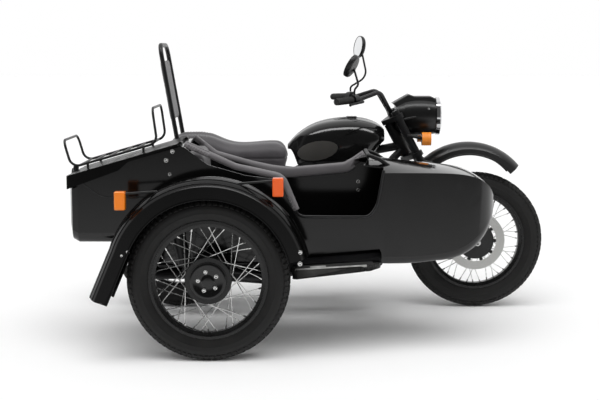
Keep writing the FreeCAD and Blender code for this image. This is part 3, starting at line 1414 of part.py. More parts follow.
def body_section(x, half, bottom, crease, top, corner):
    y = size.side_body_y
    low = min(corner, half * 0.6, (crease - bottom) * 0.6)
    diagonal = low * (1 - math.sqrt(0.5))
    right, left = y - half, y + half
    edges = [
        Part.LineSegment(Vector(x, right + low, bottom), Vector(x, left - low, bottom)).toShape(),
        Part.Arc(Vector(x, left - low, bottom), Vector(x, left - diagonal, bottom + diagonal),
                 Vector(x, left, bottom + low)).toShape(),
        Part.LineSegment(Vector(x, left, bottom + low), Vector(x, left, crease)).toShape(),
        Part.Arc(Vector(x, left, crease), Vector(x, y, top), Vector(x, right, crease)).toShape(),
        Part.LineSegment(Vector(x, right, crease), Vector(x, right, bottom + low)).toShape(),
        Part.Arc(Vector(x, right, bottom + low), Vector(x, right + diagonal, bottom + diagonal),
                 Vector(x, right + low, bottom)).toShape(),
    ]
    return Part.Wire(edges)


def trunk_line(x):
    share = (x - size.trunk_rear_x) / (size.trunk_front_x - size.trunk_rear_x)
    return size.trunk_rear_height + (size.trunk_front_height - size.trunk_rear_height) * share


# turns of the sine along which the nose is sliced, closer together towards its tip
nose_turns = (0, 12, 24, 36, 46, 55, 63, 70, 76, 81, 85, 87.5)


def tub(inset):
    # the outer skin when inset is nothing, the hollow inside it otherwise
    half = size.side_body_half - inset
    floor = size.side_floor_height + inset
    trunk_floor = size.trunk_floor_height + inset
    rear = size.trunk_rear_x + inset
    corner = size.side_corner_radius - inset
    start = size.nose_start_x

    def tub_ring(x, width, bottom, drop):
        deck = trunk_line(x) - drop
        return body_section(x, width, bottom, deck, deck + size.deck_crown, corner)

    rear_rings = [
        tub_ring(rear, half - 45, trunk_floor + 46, 24 + inset),
        tub_ring(rear + 11, half - 15, trunk_floor + 12, 8 + inset),
        tub_ring(rear + 38, half, trunk_floor, inset),
        tub_ring(-190, half, trunk_floor, inset),
        tub_ring(0, half, floor, inset),
        tub_ring(size.trunk_front_x, half, floor, inset),
        body_section(start, half, floor, size.nose_crease_height - inset,
                     size.nose_top_height + size.deck_crown - inset, corner),
    ]
    length = size.nose_end_x - inset - start
    nose_rings = []
    for turn in nose_turns:
        share = math.sin(math.radians(turn))
        wide = (1 - share ** 5) ** (1 / 2.6)
        belly = (1 - share ** 3) ** (1 / 1.6)
        brow = (1 - share ** 6) ** (1 / 2)
        bottom = size.nose_tip_height - (size.nose_tip_height - floor) * belly
        crease = size.nose_tip_height + (size.nose_crease_height - inset - size.nose_tip_height) * brow
        crown = size.deck_crown + (size.nose_top_height - size.nose_crease_height) * (1 - share) ** 1.6
        nose_rings.append(body_section(start + length * share, half * wide, bottom, crease, crease + crown, corner))
    rear_part = Part.makeLoft(rear_rings, True, True)
    nose_part = Part.makeLoft(nose_rings, True, False)
    return rear_part.fuse(nose_part)


skin = tub(0)
hollow = tub(size.side_body_wall)
right_wall_y = size.side_body_y - size.side_body_half
left_wall_y = size.side_body_y + size.side_body_half
bulkhead = Part.makeBox(size.side_body_wall, size.side_body_half * 2, 800,
                        Vector(size.trunk_front_x, right_wall_y, size.side_floor_height))


def step_recess(grown):
    # pocket low in the right side, open below and rounded at its upper front corner
    length = size.step_recess_front_x - size.step_recess_rear_x + grown * 2
    bottom = size.side_floor_height - size.side_tube_radius
    pocket = Part.makeBox(length, size.step_recess_depth * 2 + grown, size.step_recess_top + grown - bottom,
                          Vector(size.step_recess_rear_x - grown, right_wall_y - size.step_recess_depth, bottom))
    corner = [edge for edge in edges_along(pocket, "y")
              if edge.BoundBox.XMin > size.step_recess_front_x - size.gap and edge.BoundBox.ZMin > size.step_recess_top - size.gap]
    return pocket.makeFillet(size.step_recess_round + grown, corner)


shell = skin.cut(hollow.cut(bulkhead).cut(step_recess(size.side_body_wall))).cut(step_recess(0))
trunk_mouth = Part.makeBox(size.trunk_front_x - size.trunk_rear_x - 90, (size.side_body_half - 34) * 2, 400,
                           Vector(size.trunk_rear_x + 48, size.side_body_y - size.side_body_half + 34,
                                  size.trunk_rear_height - 60))
sky = 1100
far_edge = [(106, sky), (106, 896), (217, 814), (379, 768), (565, 745), (821, 768), (919, 826), (size.nose_start_x, 860),
            (size.nose_start_x, sky)]
near_edge = [(106, sky), (122, 896), (335, 797), (540, 752), (596, 618), (622, size.sill_height),
             (905, size.sill_height), (944, 640), (size.nose_start_x, 800), (size.nose_start_x, sky)]
far_cutter = side_cut(far_edge, right_wall_y - 20, left_wall_y + 20)
near_cutter = side_cut(near_edge, right_wall_y - 20, right_wall_y + 60)
shell = shell.cut(trunk_mouth).cut(far_cutter).cut(near_cutter)
hinge_set = []
post_half = size.lid_pin_radius * 1.2
for side in (-1, 1):
    middle = size.side_body_y + side * size.lid_hinge_spread
    reach = size.lid_hinge_length / 2 + size.gap
    hinge_set.append(rod(Vector(hinge_x, middle - reach - size.lid_hinge_radius * 2, hinge_z),
                         Vector(hinge_x, middle + reach + size.lid_hinge_radius * 2, hinge_z), size.lid_pin_radius))
    for end in (-1, 1):
        lug_y = middle + end * (reach + size.lid_hinge_radius)
        post = Part.makeBox(post_half * 2, size.lid_hinge_radius * 2, size.lid_hinge_radius * 3 + post_half)
        post.translate(Vector(hinge_x - post_half, lug_y - size.lid_hinge_radius,
                              hinge_z - size.lid_hinge_radius * 3))
        hinge_set.append(post)
shell = melted([shell] + hinge_set)
node(shape_piece("sidecar_tub", shell), "sidecar_body")

# Coaming: padded rolls along the cockpit edges
near_roll = tube([Vector(118, right_wall_y + 4, 905), Vector(335, right_wall_y + 4, 806),
                  Vector(536, right_wall_y + 4, 762), Vector(596, right_wall_y + 4, 618)], size.coaming_radius, 60)
far_roll = tube([Vector(118, left_wall_y - 4, 900), Vector(217, left_wall_y - 4, 822), Vector(379, left_wall_y - 4, 776),
                 Vector(565, left_wall_y - 4, 753), Vector(821, left_wall_y - 4, 776), Vector(912, left_wall_y - 4, 826)],
                size.coaming_radius, 60)
node(shape_piece("coaming_rolls", Part.makeCompound([near_roll.cut(shell), far_roll.cut(shell)])), "cockpit_coaming")

# Trunk lid with its lips, hinged along the front edge
lid_rear = size.trunk_rear_x - size.clearance - size.lid_wall
lid_front = size.trunk_front_x - size.lid_hinge_radius * 2
lid_half = size.side_body_half + size.clearance + size.lid_wall


def lid_side():
    lip_step = size.trunk_rear_x + size.lid_step_length
    return [
        (lid_rear, trunk_line(lid_rear) - size.lid_lip_depth),
        (lid_rear, trunk_line(lid_rear) + size.lid_depth),
        (lid_front, trunk_line(lid_front) + size.lid_depth),
        (lid_front, trunk_line(lid_front) + size.lid_wall),
        (lip_step + size.lid_lip_depth, trunk_line(lip_step) + size.lid_wall * 3),
        (lip_step, trunk_line(lip_step) - size.lid_lip_depth * 0.6),
    ]


lid_outer = side_cut(lid_side(), size.side_body_y - lid_half, size.side_body_y + lid_half)
lid_outer = lid_outer.makeFillet(size.lid_corner_radius, [e for e in lid_outer.Edges
                                                          if e.BoundBox.XMax < lid_rear + 1 and e.BoundBox.YLength < 1])
room_rear = size.trunk_rear_x - size.clearance
lid_seat = size.deck_crown + size.gap
lid_room = side_cut([(room_rear, trunk_line(room_rear) - size.lid_lip_depth * 2),
                     (room_rear, trunk_line(room_rear) + lid_seat),
                     (lid_front, trunk_line(lid_front) + lid_seat),
                     (lid_front, trunk_line(lid_front) - size.lid_lip_depth * 2)],
                    right_wall_y - size.clearance, left_wall_y + size.clearance)
lid = lid_outer.cut(lid_room)
sleeves = []
for side in (-1, 1):
    start = Vector(hinge_x, size.side_body_y + side * size.lid_hinge_spread - size.lid_hinge_length / 2, hinge_z)
    sleeves.append(Part.makeCylinder(size.lid_hinge_radius, size.lid_hinge_length, start, Vector(0, 1, 0)))
    leaf = Part.makeBox(size.lid_hinge_radius * 2, size.lid_hinge_length, size.lid_wall)
    leaf.translate(Vector(lid_front - size.lid_hinge_radius, start.y, hinge_z - size.lid_wall / 2))
    sleeves.append(leaf)
lid = melted([lid] + sleeves)
pin_bore = rod(Vector(hinge_x, right_wall_y, hinge_z), Vector(hinge_x, left_wall_y, hinge_z),
               size.lid_pin_radius + size.shaft_fit)
lid = lid.cut(pin_bore)
lid = max(lid.Solids, key=lambda solid: solid.Volume)
node(shape_piece("lid_panel", lid), "trunk_lid")

# Luggage rack on the lid
rack_pieces = []
rack_lift = size.lid_depth + size.rack_stand_off
rack_y = size.side_body_y


def rack_point(x, across, lift=0):
    return Vector(x, rack_y + across, trunk_line(x) + rack_lift + lift)


rack_rear = -size.rear_reach + size.rack_rear_lean + size.rack_tube_radius
rack_front = size.rack_front_x
rack_middle = (rack_rear + rack_front) / 2
for side in (-1, 1):
    across = side * size.rack_half_width
    for x in (rack_rear + 70, rack_front - 60):
        rack_pieces.append(rod(rack_point(x, across), Vector(x, rack_y + across, trunk_line(x) + size.lid_depth + 1),
                               size.rack_tube_radius))
for index in range(int(size.rack_slat_count)):
    share = (index + 0.5) / size.rack_slat_count
    x = rack_rear + (rack_front - rack_rear) * share
    rack_pieces.append(rod(rack_point(x, -size.rack_half_width), rack_point(x, size.rack_half_width),
                           size.rack_tube_radius * 0.8))
for x, height, lean_back in ((rack_rear, size.rack_rear_rise, size.rack_rear_lean),
                             (rack_front, size.rack_front_rise, size.rack_front_lean)):
    # each end hoop bends smoothly out of the two side rails
    corner_lift = Vector(-lean_back, 0, height)
    foot_right = rack_point(x, -size.rack_half_width)
    foot_left = rack_point(x, size.rack_half_width)
    rack_pieces.append(tube([rack_point(rack_middle, -size.rack_half_width), foot_right, foot_right + corner_lift,
                             foot_left + corner_lift, foot_left, rack_point(rack_middle, size.rack_half_width)],
                            size.rack_tube_radius, size.rack_bend))
node(shape_piece("rack_tubes", melted(rack_pieces).cut(lid)), "luggage_rack")

# Seat cushion and back cushion of the cockpit
seat = Part.makeBox(330, (size.side_body_half - 30) * 2, size.cushion_depth,
                    Vector(150, size.side_body_y - size.side_body_half + 30, size.side_floor_height + 60))
node(shape_piece("cockpit_seat_cushion", seat.makeFillet(24, seat.Edges)), "cockpit_seat")
back = Part.makeBox(70, (size.side_body_half - 34) * 2, 350)
back = back.makeFillet(24, back.Edges)
back.rotate(Vector(0, 0, 0), Vector(0, 1, 0), -4)
seat_top = size.side_floor_height + 60 + size.cushion_depth
back.translate(Vector(138, size.side_body_y - size.side_body_half + 34, seat_top + size.gap - 35 * math.sin(math.radians(4))))
node(shape_piece("cockpit_back_cushion", back), "cockpit_backrest")
box_half = size.side_body_half - size.side_corner_radius - size.side_body_wall
seat_base = Part.makeBox(330, box_half * 2, 60 - size.gap - size.side_body_wall,
                         Vector(150, size.side_body_y - box_half, size.side_floor_height + size.side_body_wall))
node(shape_piece("seat_box", seat_base), "cockpit_seat_base")

# Sidecar chassis: a tube loop under the tub, cross tubes and four links to the motorcycle
loop_z = size.side_floor_height - size.side_tube_radius - size.gap
keel_slope = math.atan2(size.trunk_floor_height - size.side_floor_height, 190)
loop_corner_x = -(size.side_tube_radius + size.gap) * math.tan(keel_slope / 2)
loop_rear = Vector(loop_corner_x - 150, 0, loop_z + 150 * math.tan(keel_slope))
inner_y = size.side_body_y + size.side_body_half * 0.84
outer_y = size.side_body_y - size.side_body_half * 0.84
chassis = [tube([
    Vector(loop_rear.x, outer_y, loop_rear.z), Vector(loop_corner_x, outer_y, loop_z),
    Vector(1090, outer_y, loop_z), Vector(1160, size.side_body_y, loop_z), Vector(1090, inner_y, loop_z),
    Vector(loop_corner_x, inner_y, loop_z), Vector(loop_rear.x, inner_y, loop_rear.z)],
    size.side_tube_radius, 40)]
for x in (60, 500, 1000):
    chassis.append(rod(Vector(x, outer_y, loop_z), Vector(x, inner_y, loop_z), size.side_cross_radius))
arm_y = -(size.wheel_track - size.tyre_half_width - size.clearance - size.swing_tube_radius - 3)
chassis.append(rod(Vector(500, arm_y - size.swing_tube_radius, loop_z), Vector(500, outer_y, loop_z),
                   size.side_tube_radius * 0.7))
links = [
    [Vector(1000, inner_y, loop_z), Vector(950, -320, 208), Vector(900, -size.cradle_half, size.cradle_height)],
    [Vector(340, inner_y, loop_z), Vector(480, -320, 208), Vector(560, -size.cradle_half, size.cradle_height)],
    [Vector(1000, inner_y, loop_z), Vector(1004, -430, loop_z + 6), Vector(1010, -400, 480),
     Vector(1044, -size.cradle_half, 570)],
    [Vector(280, inner_y, loop_z), Vector(284, -430, loop_z + 6), Vector(292, -400, 430),
     Vector(332, -size.cradle_half, 446)],
]
for points in links:
    chassis.append(tube(points, size.frame_tube_radius, 60) if len(points) > 2
                   else rod(points[0], points[1], size.frame_tube_radius))
side_frame = melted(chassis).cut(holder)
side_frame = max(side_frame.Solids, key=lambda solid: solid.Volume)
node(shape_piece("sidecar_chassis", side_frame), "sidecar_frame")

# Wheel arm, axle and damper of the sidecar
pivot_pin = size.side_tube_radius * 0.7
arm = [
    rod(Vector(500, arm_y - size.swing_tube_radius, loop_z), Vector(500, arm_y + size.swing_tube_radius * 3, loop_z),
        size.side_tube_radius * 1.2),
    rod(Vector(500, arm_y, loop_z), Vector(120, arm_y, size.tyre_radius + 14), size.swing_tube_radius),
    rod(Vector(size.wheel_lead, arm_y, size.tyre_radius),
        Vector(size.wheel_lead, -size.wheel_track - size.hub_half_length - 4, size.tyre_radius), size.axle_radius),
    rod(Vector(120, arm_y, size.tyre_radius + 14), Vector(120, arm_y + 34, size.tyre_radius + 14), 9),
]
side_arm = melted(arm).cut(rod(Vector(500, arm_y - 100, loop_z), Vector(500, arm_y + 100, loop_z),
                               pivot_pin + size.shaft_fit))
node(shape_piece("sidecar_arm", side_arm), "sidecar_swing_arm")
side_damper_y = arm_y + 34 + size.gap + size.shock_radius / 2
side_damper = damper("side_damper", Vector(120, side_damper_y, size.tyre_radius + 14), Vector(60, side_damper_y, 620))
node(side_damper, "sidecar_shock")

# Marker lamps on the sidecar mudguard
marker_set = []
for x, z, end_x, end_z in ((-132, 684, 22, 722), (521, 740, 350, 754)):
    box = Part.makeBox(size.marker_length, size.marker_depth, size.marker_height,
                       Vector(x - size.marker_length / 2, -1190 - size.marker_depth / 2, z - size.marker_height / 2))
    arm_rod = rod(Vector(x, -1190, z + 27), Vector(end_x, -1190, end_z), 5)
    marker = melted([box.makeFillet(6, box.Edges), arm_rod]).cut(side_guard)
    marker_set.append(max(marker.Solids, key=lambda solid: solid.Volume))
node(shape_piece("marker_lamp_pair", Part.makeCompound(marker_set)), "marker_lamps")

# Step board beside the cockpit: a pressed tray with a wide rounded front corner, over the tube loop
step_inner_y = right_wall_y + size.step_recess_depth - size.gap


def step_tray(inset, bottom, top):
    tray = Part.makeBox(size.step_front_x - size.step_rear_x - inset * 2, step_inner_y - size.step_outer_y - inset * 2,
                        top - bottom, Vector(size.step_rear_x + inset, size.step_outer_y + inset, bottom))
    for rear, radius in ((True, size.step_rear_round - inset), (False, size.step_front_round - inset)):
        corner = [edge for edge in edges_along(tray, "z") if edge.BoundBox.YMax < size.step_outer_y + inset + size.gap
                  and (edge.BoundBox.XMax < size.step_rear_x + inset + size.gap) == rear]
        tray = tray.makeFillet(radius, corner)
    return tray


step = step_tray(0, size.step_bottom_height, size.step_top_height)
step = step.cut(step_tray(size.step_sheet, size.step_bottom_height - size.step_sheet,
                          size.step_top_height - size.step_sheet))
step_ribs = []
for share in (0.15, 0.7):
    rib_x = size.step_rear_x + (size.step_front_x - size.step_rear_x) * share
    step_ribs.append(Part.makeBox(size.step_rib, step_inner_y - size.step_outer_y - size.step_sheet,
                                  size.step_top_height - size.step_bottom_height - size.step_sheet / 2,
                                  Vector(rib_x, size.step_outer_y + size.step_sheet / 2, size.step_bottom_height)))
loop_room = rod(Vector(size.step_rear_x - size.step_recess_depth, outer_y, loop_z),
                Vector(size.step_front_x + size.step_recess_depth, outer_y, loop_z), size.side_tube_radius + size.gap)
step = melted([step] + step_ribs).cut(loop_room)
step = max(step.Solids, key=lambda solid: solid.Volume)
node(shape_piece("step_board", step), "step_plate")

# Grab handle at the rear edge of the nose
handle = tube([Vector(1000, size.side_body_y + 150, 800), Vector(960, size.side_body_y + 148, 828),
               Vector(912, size.side_body_y + 140, 846), Vector(912, size.side_body_y - 140, 846),
               Vector(960, size.side_body_y - 148, 828), Vector(1000, size.side_body_y - 150, 800)], 9, 24)
handle = handle.cut(skin)
node(shape_piece("grab_tube", max(handle.Solids, key=lambda solid: solid.Volume)), "grab_handle")

document.recompute()

# Every object has to be sound before anything is written
faults = []
for item in document.Objects:
    if "Invalid" in item.State or "Error" in item.State:
        faults.append(item.Label + " did not compute")
for item in nodes:
    if item.Shape.isNull() or not item.Shape.isValid():
        faults.append(item.Label + " has no sound shape")
if faults:
    raise RuntimeError("; ".join(faults))
for item in nodes:
    item.Shape.exportStep("parts/%s.step" % item.Label)
    box = item.Shape.BoundBox
    print("%-22s solids %d  X %7.1f %7.1f  Y %7.1f %7.1f  Z %7.1f %7.1f" % (
        item.Label, len(item.Shape.Solids), box.XMin, box.XMax, box.YMin, box.YMax, box.ZMin, box.ZMax))
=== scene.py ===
import bpy
import json
import math
from mathutils import Matrix, Vector


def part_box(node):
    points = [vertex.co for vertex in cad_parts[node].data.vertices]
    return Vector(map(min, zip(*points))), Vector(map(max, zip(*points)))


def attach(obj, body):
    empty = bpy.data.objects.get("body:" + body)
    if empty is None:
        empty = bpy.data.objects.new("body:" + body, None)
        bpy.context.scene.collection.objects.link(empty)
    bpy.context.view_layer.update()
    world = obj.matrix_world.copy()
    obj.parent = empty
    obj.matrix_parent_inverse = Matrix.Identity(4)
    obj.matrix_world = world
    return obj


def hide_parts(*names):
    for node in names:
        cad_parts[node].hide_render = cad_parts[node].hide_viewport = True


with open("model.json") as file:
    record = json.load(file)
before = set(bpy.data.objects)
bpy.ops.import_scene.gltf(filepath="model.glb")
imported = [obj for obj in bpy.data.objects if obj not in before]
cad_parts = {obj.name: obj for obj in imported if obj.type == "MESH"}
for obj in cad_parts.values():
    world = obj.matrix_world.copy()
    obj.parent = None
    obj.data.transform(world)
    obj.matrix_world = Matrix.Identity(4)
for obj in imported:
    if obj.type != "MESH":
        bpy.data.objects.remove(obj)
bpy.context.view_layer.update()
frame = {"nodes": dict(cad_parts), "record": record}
cadNodes = frame["nodes"]

# The outfit's own measures: X from the rear axle, Y from the motorcycle's middle, Z from the floor
rearLow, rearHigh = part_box("rear_tyre")
rearMiddle = (rearLow + rearHigh) / 2
frontLow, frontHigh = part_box("front_tyre")
frontMiddle = (frontLow + frontHigh) / 2
sideLow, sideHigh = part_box("sidecar_tyre")
sideMiddle = (sideLow + sideHigh) / 2
tyreRadius = (rearHigh.z - rearLow.z) / 2


def spot(x, y, z):
    return Vector((rearMiddle.x + x, rearMiddle.y + y, z))


# Modelling helpers

weldDistance = 0.0002
squareOn = 0.9
# faces that meet at fewer degrees than this are shaded as one
panelAngle, edgeAngle, tankAngle, softAngle = 30, 35, 50, 60


def within(value, low, high):
    # how far the value is on its way from low to high, from 0 to 1
    return min(max((value - low) / (high - low), 0), 1)


def clearAll():
    bpy.ops.object.select_all(action="DESELECT")


def pickOnly(piece):
    clearAll()
    piece.select_set(True)
    bpy.context.view_layer.objects.active = piece


def settle(piece):
    # the origin goes to the world's, with the place kept in the mesh
    pickOnly(piece)
    bpy.ops.object.transform_apply(location=True, rotation=True, scale=True)
    return piece


def start(name, kind, **settings):
    clearAll()
    getattr(bpy.ops.mesh, "primitive_" + kind + "_add")(**settings)
    piece = bpy.context.object
    piece.name = name
    return settle(piece)


def edit(piece, test=None, mode="FACE"):
    # edit mode with what passes the test selected, or everything
    pickOnly(piece)
    bpy.ops.object.mode_set(mode="EDIT")
    bpy.ops.mesh.select_mode(type=mode)
    bpy.ops.mesh.select_all(action="DESELECT" if test else "SELECT")
    if test is None:
        return
    bpy.ops.object.mode_set(mode="OBJECT")
    if mode == "FACE":
        for face in piece.data.polygons:
            face.select = bool(test(face.center, face.normal))
    else:
        for vertex in piece.data.vertices:
            vertex.select = bool(test(vertex.co, vertex.normal))
    bpy.ops.object.mode_set(mode="EDIT")


def done():
    bpy.ops.object.mode_set(mode="OBJECT")


def weld(piece):
    # joins up the loose triangles in a copy of a CAD node
    edit(piece)
    bpy.ops.mesh.remove_doubles(threshold=weldDistance)
    done()


def modify(piece, kind, **settings):
    pickOnly(piece)
    modifier = piece.modifiers.new(kind.lower(), kind)
    for name, value in settings.items():
        setattr(modifier, name, value)
    bpy.ops.object.modifier_apply(modifier=modifier.name)


def smooth(piece, angle):
    pickOnly(piece)
    bpy.ops.object.shade_smooth_by_angle(angle=math.radians(angle))


def join(pieces, name):
    clearAll()
    for piece in pieces:
        piece.select_set(True)
    bpy.context.view_layer.objects.active = pieces[0]
    if len(pieces) > 1:
        bpy.ops.object.join()
    pieces[0].name = name
    return pieces[0]


def copyOf(piece, name, move=(0, 0, 0), turn=Matrix.Identity(3), scale=1.0):
    twin = piece.copy()
    twin.data = piece.data.copy()
    twin.name = name
    bpy.context.scene.collection.objects.link(twin)
    twin.data.transform(Matrix.Translation(move) @ (turn.to_4x4() @ Matrix.Scale(scale, 4)))
    return twin


def addAll(piece, body, finish, angle=edgeAngle):
    # last step of every new piece
    smooth(piece, angle)
    piece.data.materials.clear()
    piece.data.materials.append(finish)
    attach(piece, body)


def pipe(name, points, radius, sides):
    # a round bar along a smooth line through its points
    clearAll()
    bpy.ops.curve.primitive_nurbs_path_add()
    line = bpy.context.object
    line.name = name
    data = line.data
    data.splines.clear()
    spline = data.splines.new("NURBS")
    spline.points.add(len(points) - 1)
    for place, point in zip(spline.points, points):
        place.co = (*point, 1)
    spline.order_u = 3
    spline.use_endpoint_u = True
    data.bevel_depth = radius
    data.bevel_resolution = max(sides // 4 - 1, 1)
    data.resolution_u = 8
    data.use_fill_caps = True
    pickOnly(line)
    bpy.ops.object.convert(target="MESH")
    return settle(bpy.context.object)


# Shader maths: a socket that can be added, taken away and multiplied

class Wire:
    def __init__(self, tree, socket):
        self.tree = tree
        self.socket = socket

    def sum(self, operation, *values):
        node = self.tree.nodes.new("ShaderNodeMath")
        node.operation = operation
        for entry, value in zip(node.inputs, values):
            if isinstance(value, Wire):
                self.tree.links.new(value.socket, entry)
            else:
                entry.default_value = value
        return Wire(self.tree, node.outputs[0])

    def __add__(self, other):
        return self.sum("ADD", self, other)

    def __radd__(self, other):
        return self.sum("ADD", other, self)

    def __sub__(self, other):
        return self.sum("SUBTRACT", self, other)

    def __rsub__(self, other):
        return self.sum("SUBTRACT", other, self)

    def __mul__(self, other):
        return self.sum("MULTIPLY", self, other)

    def __gt__(self, other):
        return self.sum("GREATER_THAN", self, other)

    def __lt__(self, other):
        return self.sum("LESS_THAN", self, other)


# Most of a noise texture's values lie between these two
noiseLow, noiseHigh = 0.3, 0.7


class Finish:
    # one material: its shader and the nodes that feed it
    def __init__(self, name, **fixed):
        self.material = bpy.data.materials.new(name)
        self.material.use_nodes = True
        self.tree = self.material.node_tree
        self.shader = self.tree.nodes["Principled BSDF"]
        for socketName, value in fixed.items():
            self.shader.inputs[socketName.replace("_", " ")].default_value = value
        self.place = self.node("ShaderNodeTexCoord", out="Object")

    def node(self, kind, settings=None, inputs=None, out=0):
        made = self.tree.nodes.new(kind)
        for name, value in (settings or {}).items():
            if name == "stops":
                for element, (position, colour) in zip(made.color_ramp.elements, value):
                    element.position = position
                    element.color = colour
            else:
                setattr(made, name, value)
        for name, value in (inputs or {}).items():
            if isinstance(value, Wire):
                self.tree.links.new(value.socket, made.inputs[name])
            else:
                made.inputs[name].default_value = value
        return Wire(self.tree, made.outputs[out])

    def noise(self, scale, detail=3, roughness=0.5):
        return self.node("ShaderNodeTexNoise", None,
                         {"Vector": self.place, "Scale": scale, "Detail": detail, "Roughness": roughness})

    def mixed(self, factor, first, second):
        return self.node("ShaderNodeMix", {"data_type": "RGBA"}, {0: factor, 6: first, 7: second}, out=2)

    def ramp(self, value, dark, light, low=noiseLow, high=noiseHigh):
        # from the dark colour to the light one, as the value goes from low to high
        return self.node("ShaderNodeValToRGB", {"stops": ((low, dark), (high, light))}, {0: value})

    def spread(self, value, toLow, toHigh):
        # a noise's values become ones between toLow and toHigh
        return self.node("ShaderNodeMapRange", None,
                         {0: value, 1: noiseLow, 2: noiseHigh, 3: toLow, 4: toHigh})

    def axes(self, at=None):
        node = self.tree.nodes.new("ShaderNodeSeparateXYZ")
        self.tree.links.new((at or self.place).socket, node.inputs[0])
        return [Wire(self.tree, socket) for socket in node.outputs]

    def fromAxle(self, centre):
        # distance from an axle that runs along Y
        moved = self.node("ShaderNodeVectorMath", {"operation": "SUBTRACT"},
                          {0: self.place, 1: tuple(centre)})
        along, _, up = self.axes(moved)
        return self.node("ShaderNodeMath", {"operation": "SQRT"}, {0: along * along + up * up})

    def sine(self, value):
        return self.node("ShaderNodeMath", {"operation": "SINE"}, {0: value})

    def feed(self, socketName, wire):
        self.tree.links.new(wire.socket, self.shader.inputs[socketName])

    def bump(self, height, strength, distance):
        bumps = {"Height": height, "Strength": strength, "Distance": distance}
        self.feed("Normal", self.node("ShaderNodeBump", None, bumps))


def glossBlack(name, depth=1.48, dark=0.0015, light=0.0035, smooth=0.07, dull=0.15):
    finish = Finish(name, IOR=depth)
    cloud = finish.noise(3.0, 4)
    fine = finish.noise(900.0, 2)
    black = finish.ramp(cloud, (dark, dark, dark, 1), (light, light * 0.98, light, 1), high=0.75)
    finish.feed("Base Color", black)
    finish.feed("Roughness", finish.spread(cloud * 0.7 + fine * 0.3, smooth, dull))
    finish.bump(finish.noise(260.0, 2), 0.05, 0.0004)
    return finish.material


def satinBlack(name):
    finish = Finish(name, IOR=1.45)
    cloud = finish.noise(9.0, 4)
    grain = finish.noise(1400.0, 2)
    black = finish.ramp(cloud, (0.004, 0.004, 0.0045, 1), (0.009, 0.009, 0.0095, 1), high=0.75)
    finish.feed("Base Color", black)
    finish.feed("Roughness", finish.spread(cloud * 0.5 + grain * 0.5, 0.28, 0.46))
    finish.bump(grain, 0.12, 0.0004)
    return finish.material


def wheelPaint(name, centre, hubRadius, rimRadius):
    # black hub and rim with bright spokes between them
    finish = Finish(name, IOR=1.45)
    radius = finish.fromAxle(centre)
    spokes = (radius > hubRadius) * (radius < rimRadius)
    cloud = finish.noise(30.0, 3)
    black = finish.ramp(cloud, (0.003, 0.003, 0.003, 1), (0.007, 0.007, 0.007, 1))
    steel = finish.ramp(cloud, (0.66, 0.66, 0.65, 1), (0.84, 0.84, 0.83, 1))
    finish.feed("Base Color", finish.mixed(spokes, black, steel))
    finish.feed("Metallic", spokes)
    finish.feed("Roughness", finish.spread(cloud, 0.22, 0.34))
    finish.bump(finish.noise(700.0, 2), 0.06, 0.0003)
    return finish.material


def tyreRubber(name, centre, ringsBelow=0.325):
    # the walls have fine rings up to that radius
    finish = Finish(name, IOR=1.45)
    radius = finish.fromAxle(centre)
    cloud = finish.noise(14.0, 5, 0.6)
    grain = finish.noise(1800.0, 2)
    black = finish.ramp(cloud, (0.006, 0.006, 0.006, 1), (0.014, 0.0135, 0.013, 1), 0.25, 0.8)
    finish.feed("Base Color", black)
    finish.feed("Roughness", finish.spread(cloud, 0.62, 0.80))
    rings = finish.sine(radius * 1500.0)
    finish.bump(rings * (radius < ringsBelow) * 0.3 + grain * 0.5, 0.25, 0.0006)
    return finish.material


def bareMetal(name, dark, light, roughLow, roughHigh, grain=400.0, bump=0.1):
    finish = Finish(name, Metallic=1.0)
    cloud = finish.noise(18.0, 4)
    fine = finish.noise(grain, 3)
    finish.feed("Base Color", finish.ramp(cloud * 0.6 + fine * 0.4, dark, light))
    finish.feed("Roughness", finish.spread(fine, roughLow, roughHigh))
    finish.bump(fine, bump, 0.0005)
    return finish.material


def paintedHighlightEdge():
    # a light grey edge: a painted highlight for the bright line along the step board's near edge
    finish = Finish("paintedHighlightEdge", Metallic=0.25)
    cloud = finish.noise(35.0, 4)
    finish.feed("Base Color", finish.ramp(cloud, (0.26, 0.26, 0.25, 1), (0.46, 0.46, 0.45, 1)))
    finish.feed("Roughness", finish.spread(cloud, 0.30, 0.45))
    finish.bump(finish.noise(300.0, 3), 0.15, 0.0005)
    return finish.material


def brushedDisc(name, centre, carrier=0.104):
    # ground in circles about the axle, with a black carrier inside
    finish = Finish(name, Metallic=1.0)
    radius = finish.fromAxle(centre)
    lines = finish.node("ShaderNodeTexNoise", {"noise_dimensions": "1D"},
                        {"W": radius * 900.0, "Scale": 1.0, "Detail": 4.0})
    inner = radius < carrier
    steel = finish.ramp(lines, (0.42, 0.42, 0.41, 1), (0.72, 0.72, 0.70, 1))
    finish.feed("Base Color", finish.mixed(inner, steel, (0.012, 0.012, 0.012, 1)))
    finish.feed("Metallic", 1.0 - inner * 0.9)
    finish.feed("Roughness", finish.spread(lines, 0.22, 0.42))
    finish.bump(lines, 0.15, 0.0003)
    return finish.material


def vinyl(name, dark, light, scale=1.0):
    # grained upholstery with a dull sheen
    finish = Finish(name, IOR=1.45, Sheen_Weight=0.15, Sheen_Roughness=0.6)
    cells = finish.node("ShaderNodeTexVoronoi", {"feature": "DISTANCE_TO_EDGE"},
                        {"Vector": finish.place, "Scale": 520.0 * scale})
    cloud = finish.noise(7.0, 5, 0.6)
    fine = finish.noise(1500.0, 2)
    finish.feed("Base Color", finish.ramp(cloud, dark, light, 0.25, 0.8))
    finish.feed("Roughness", finish.spread(cloud * 0.5 + fine * 0.5, 0.40, 0.58))
    finish.bump(cells * 2.0 + fine * 0.2, 0.35, 0.0006)
    return finish.material


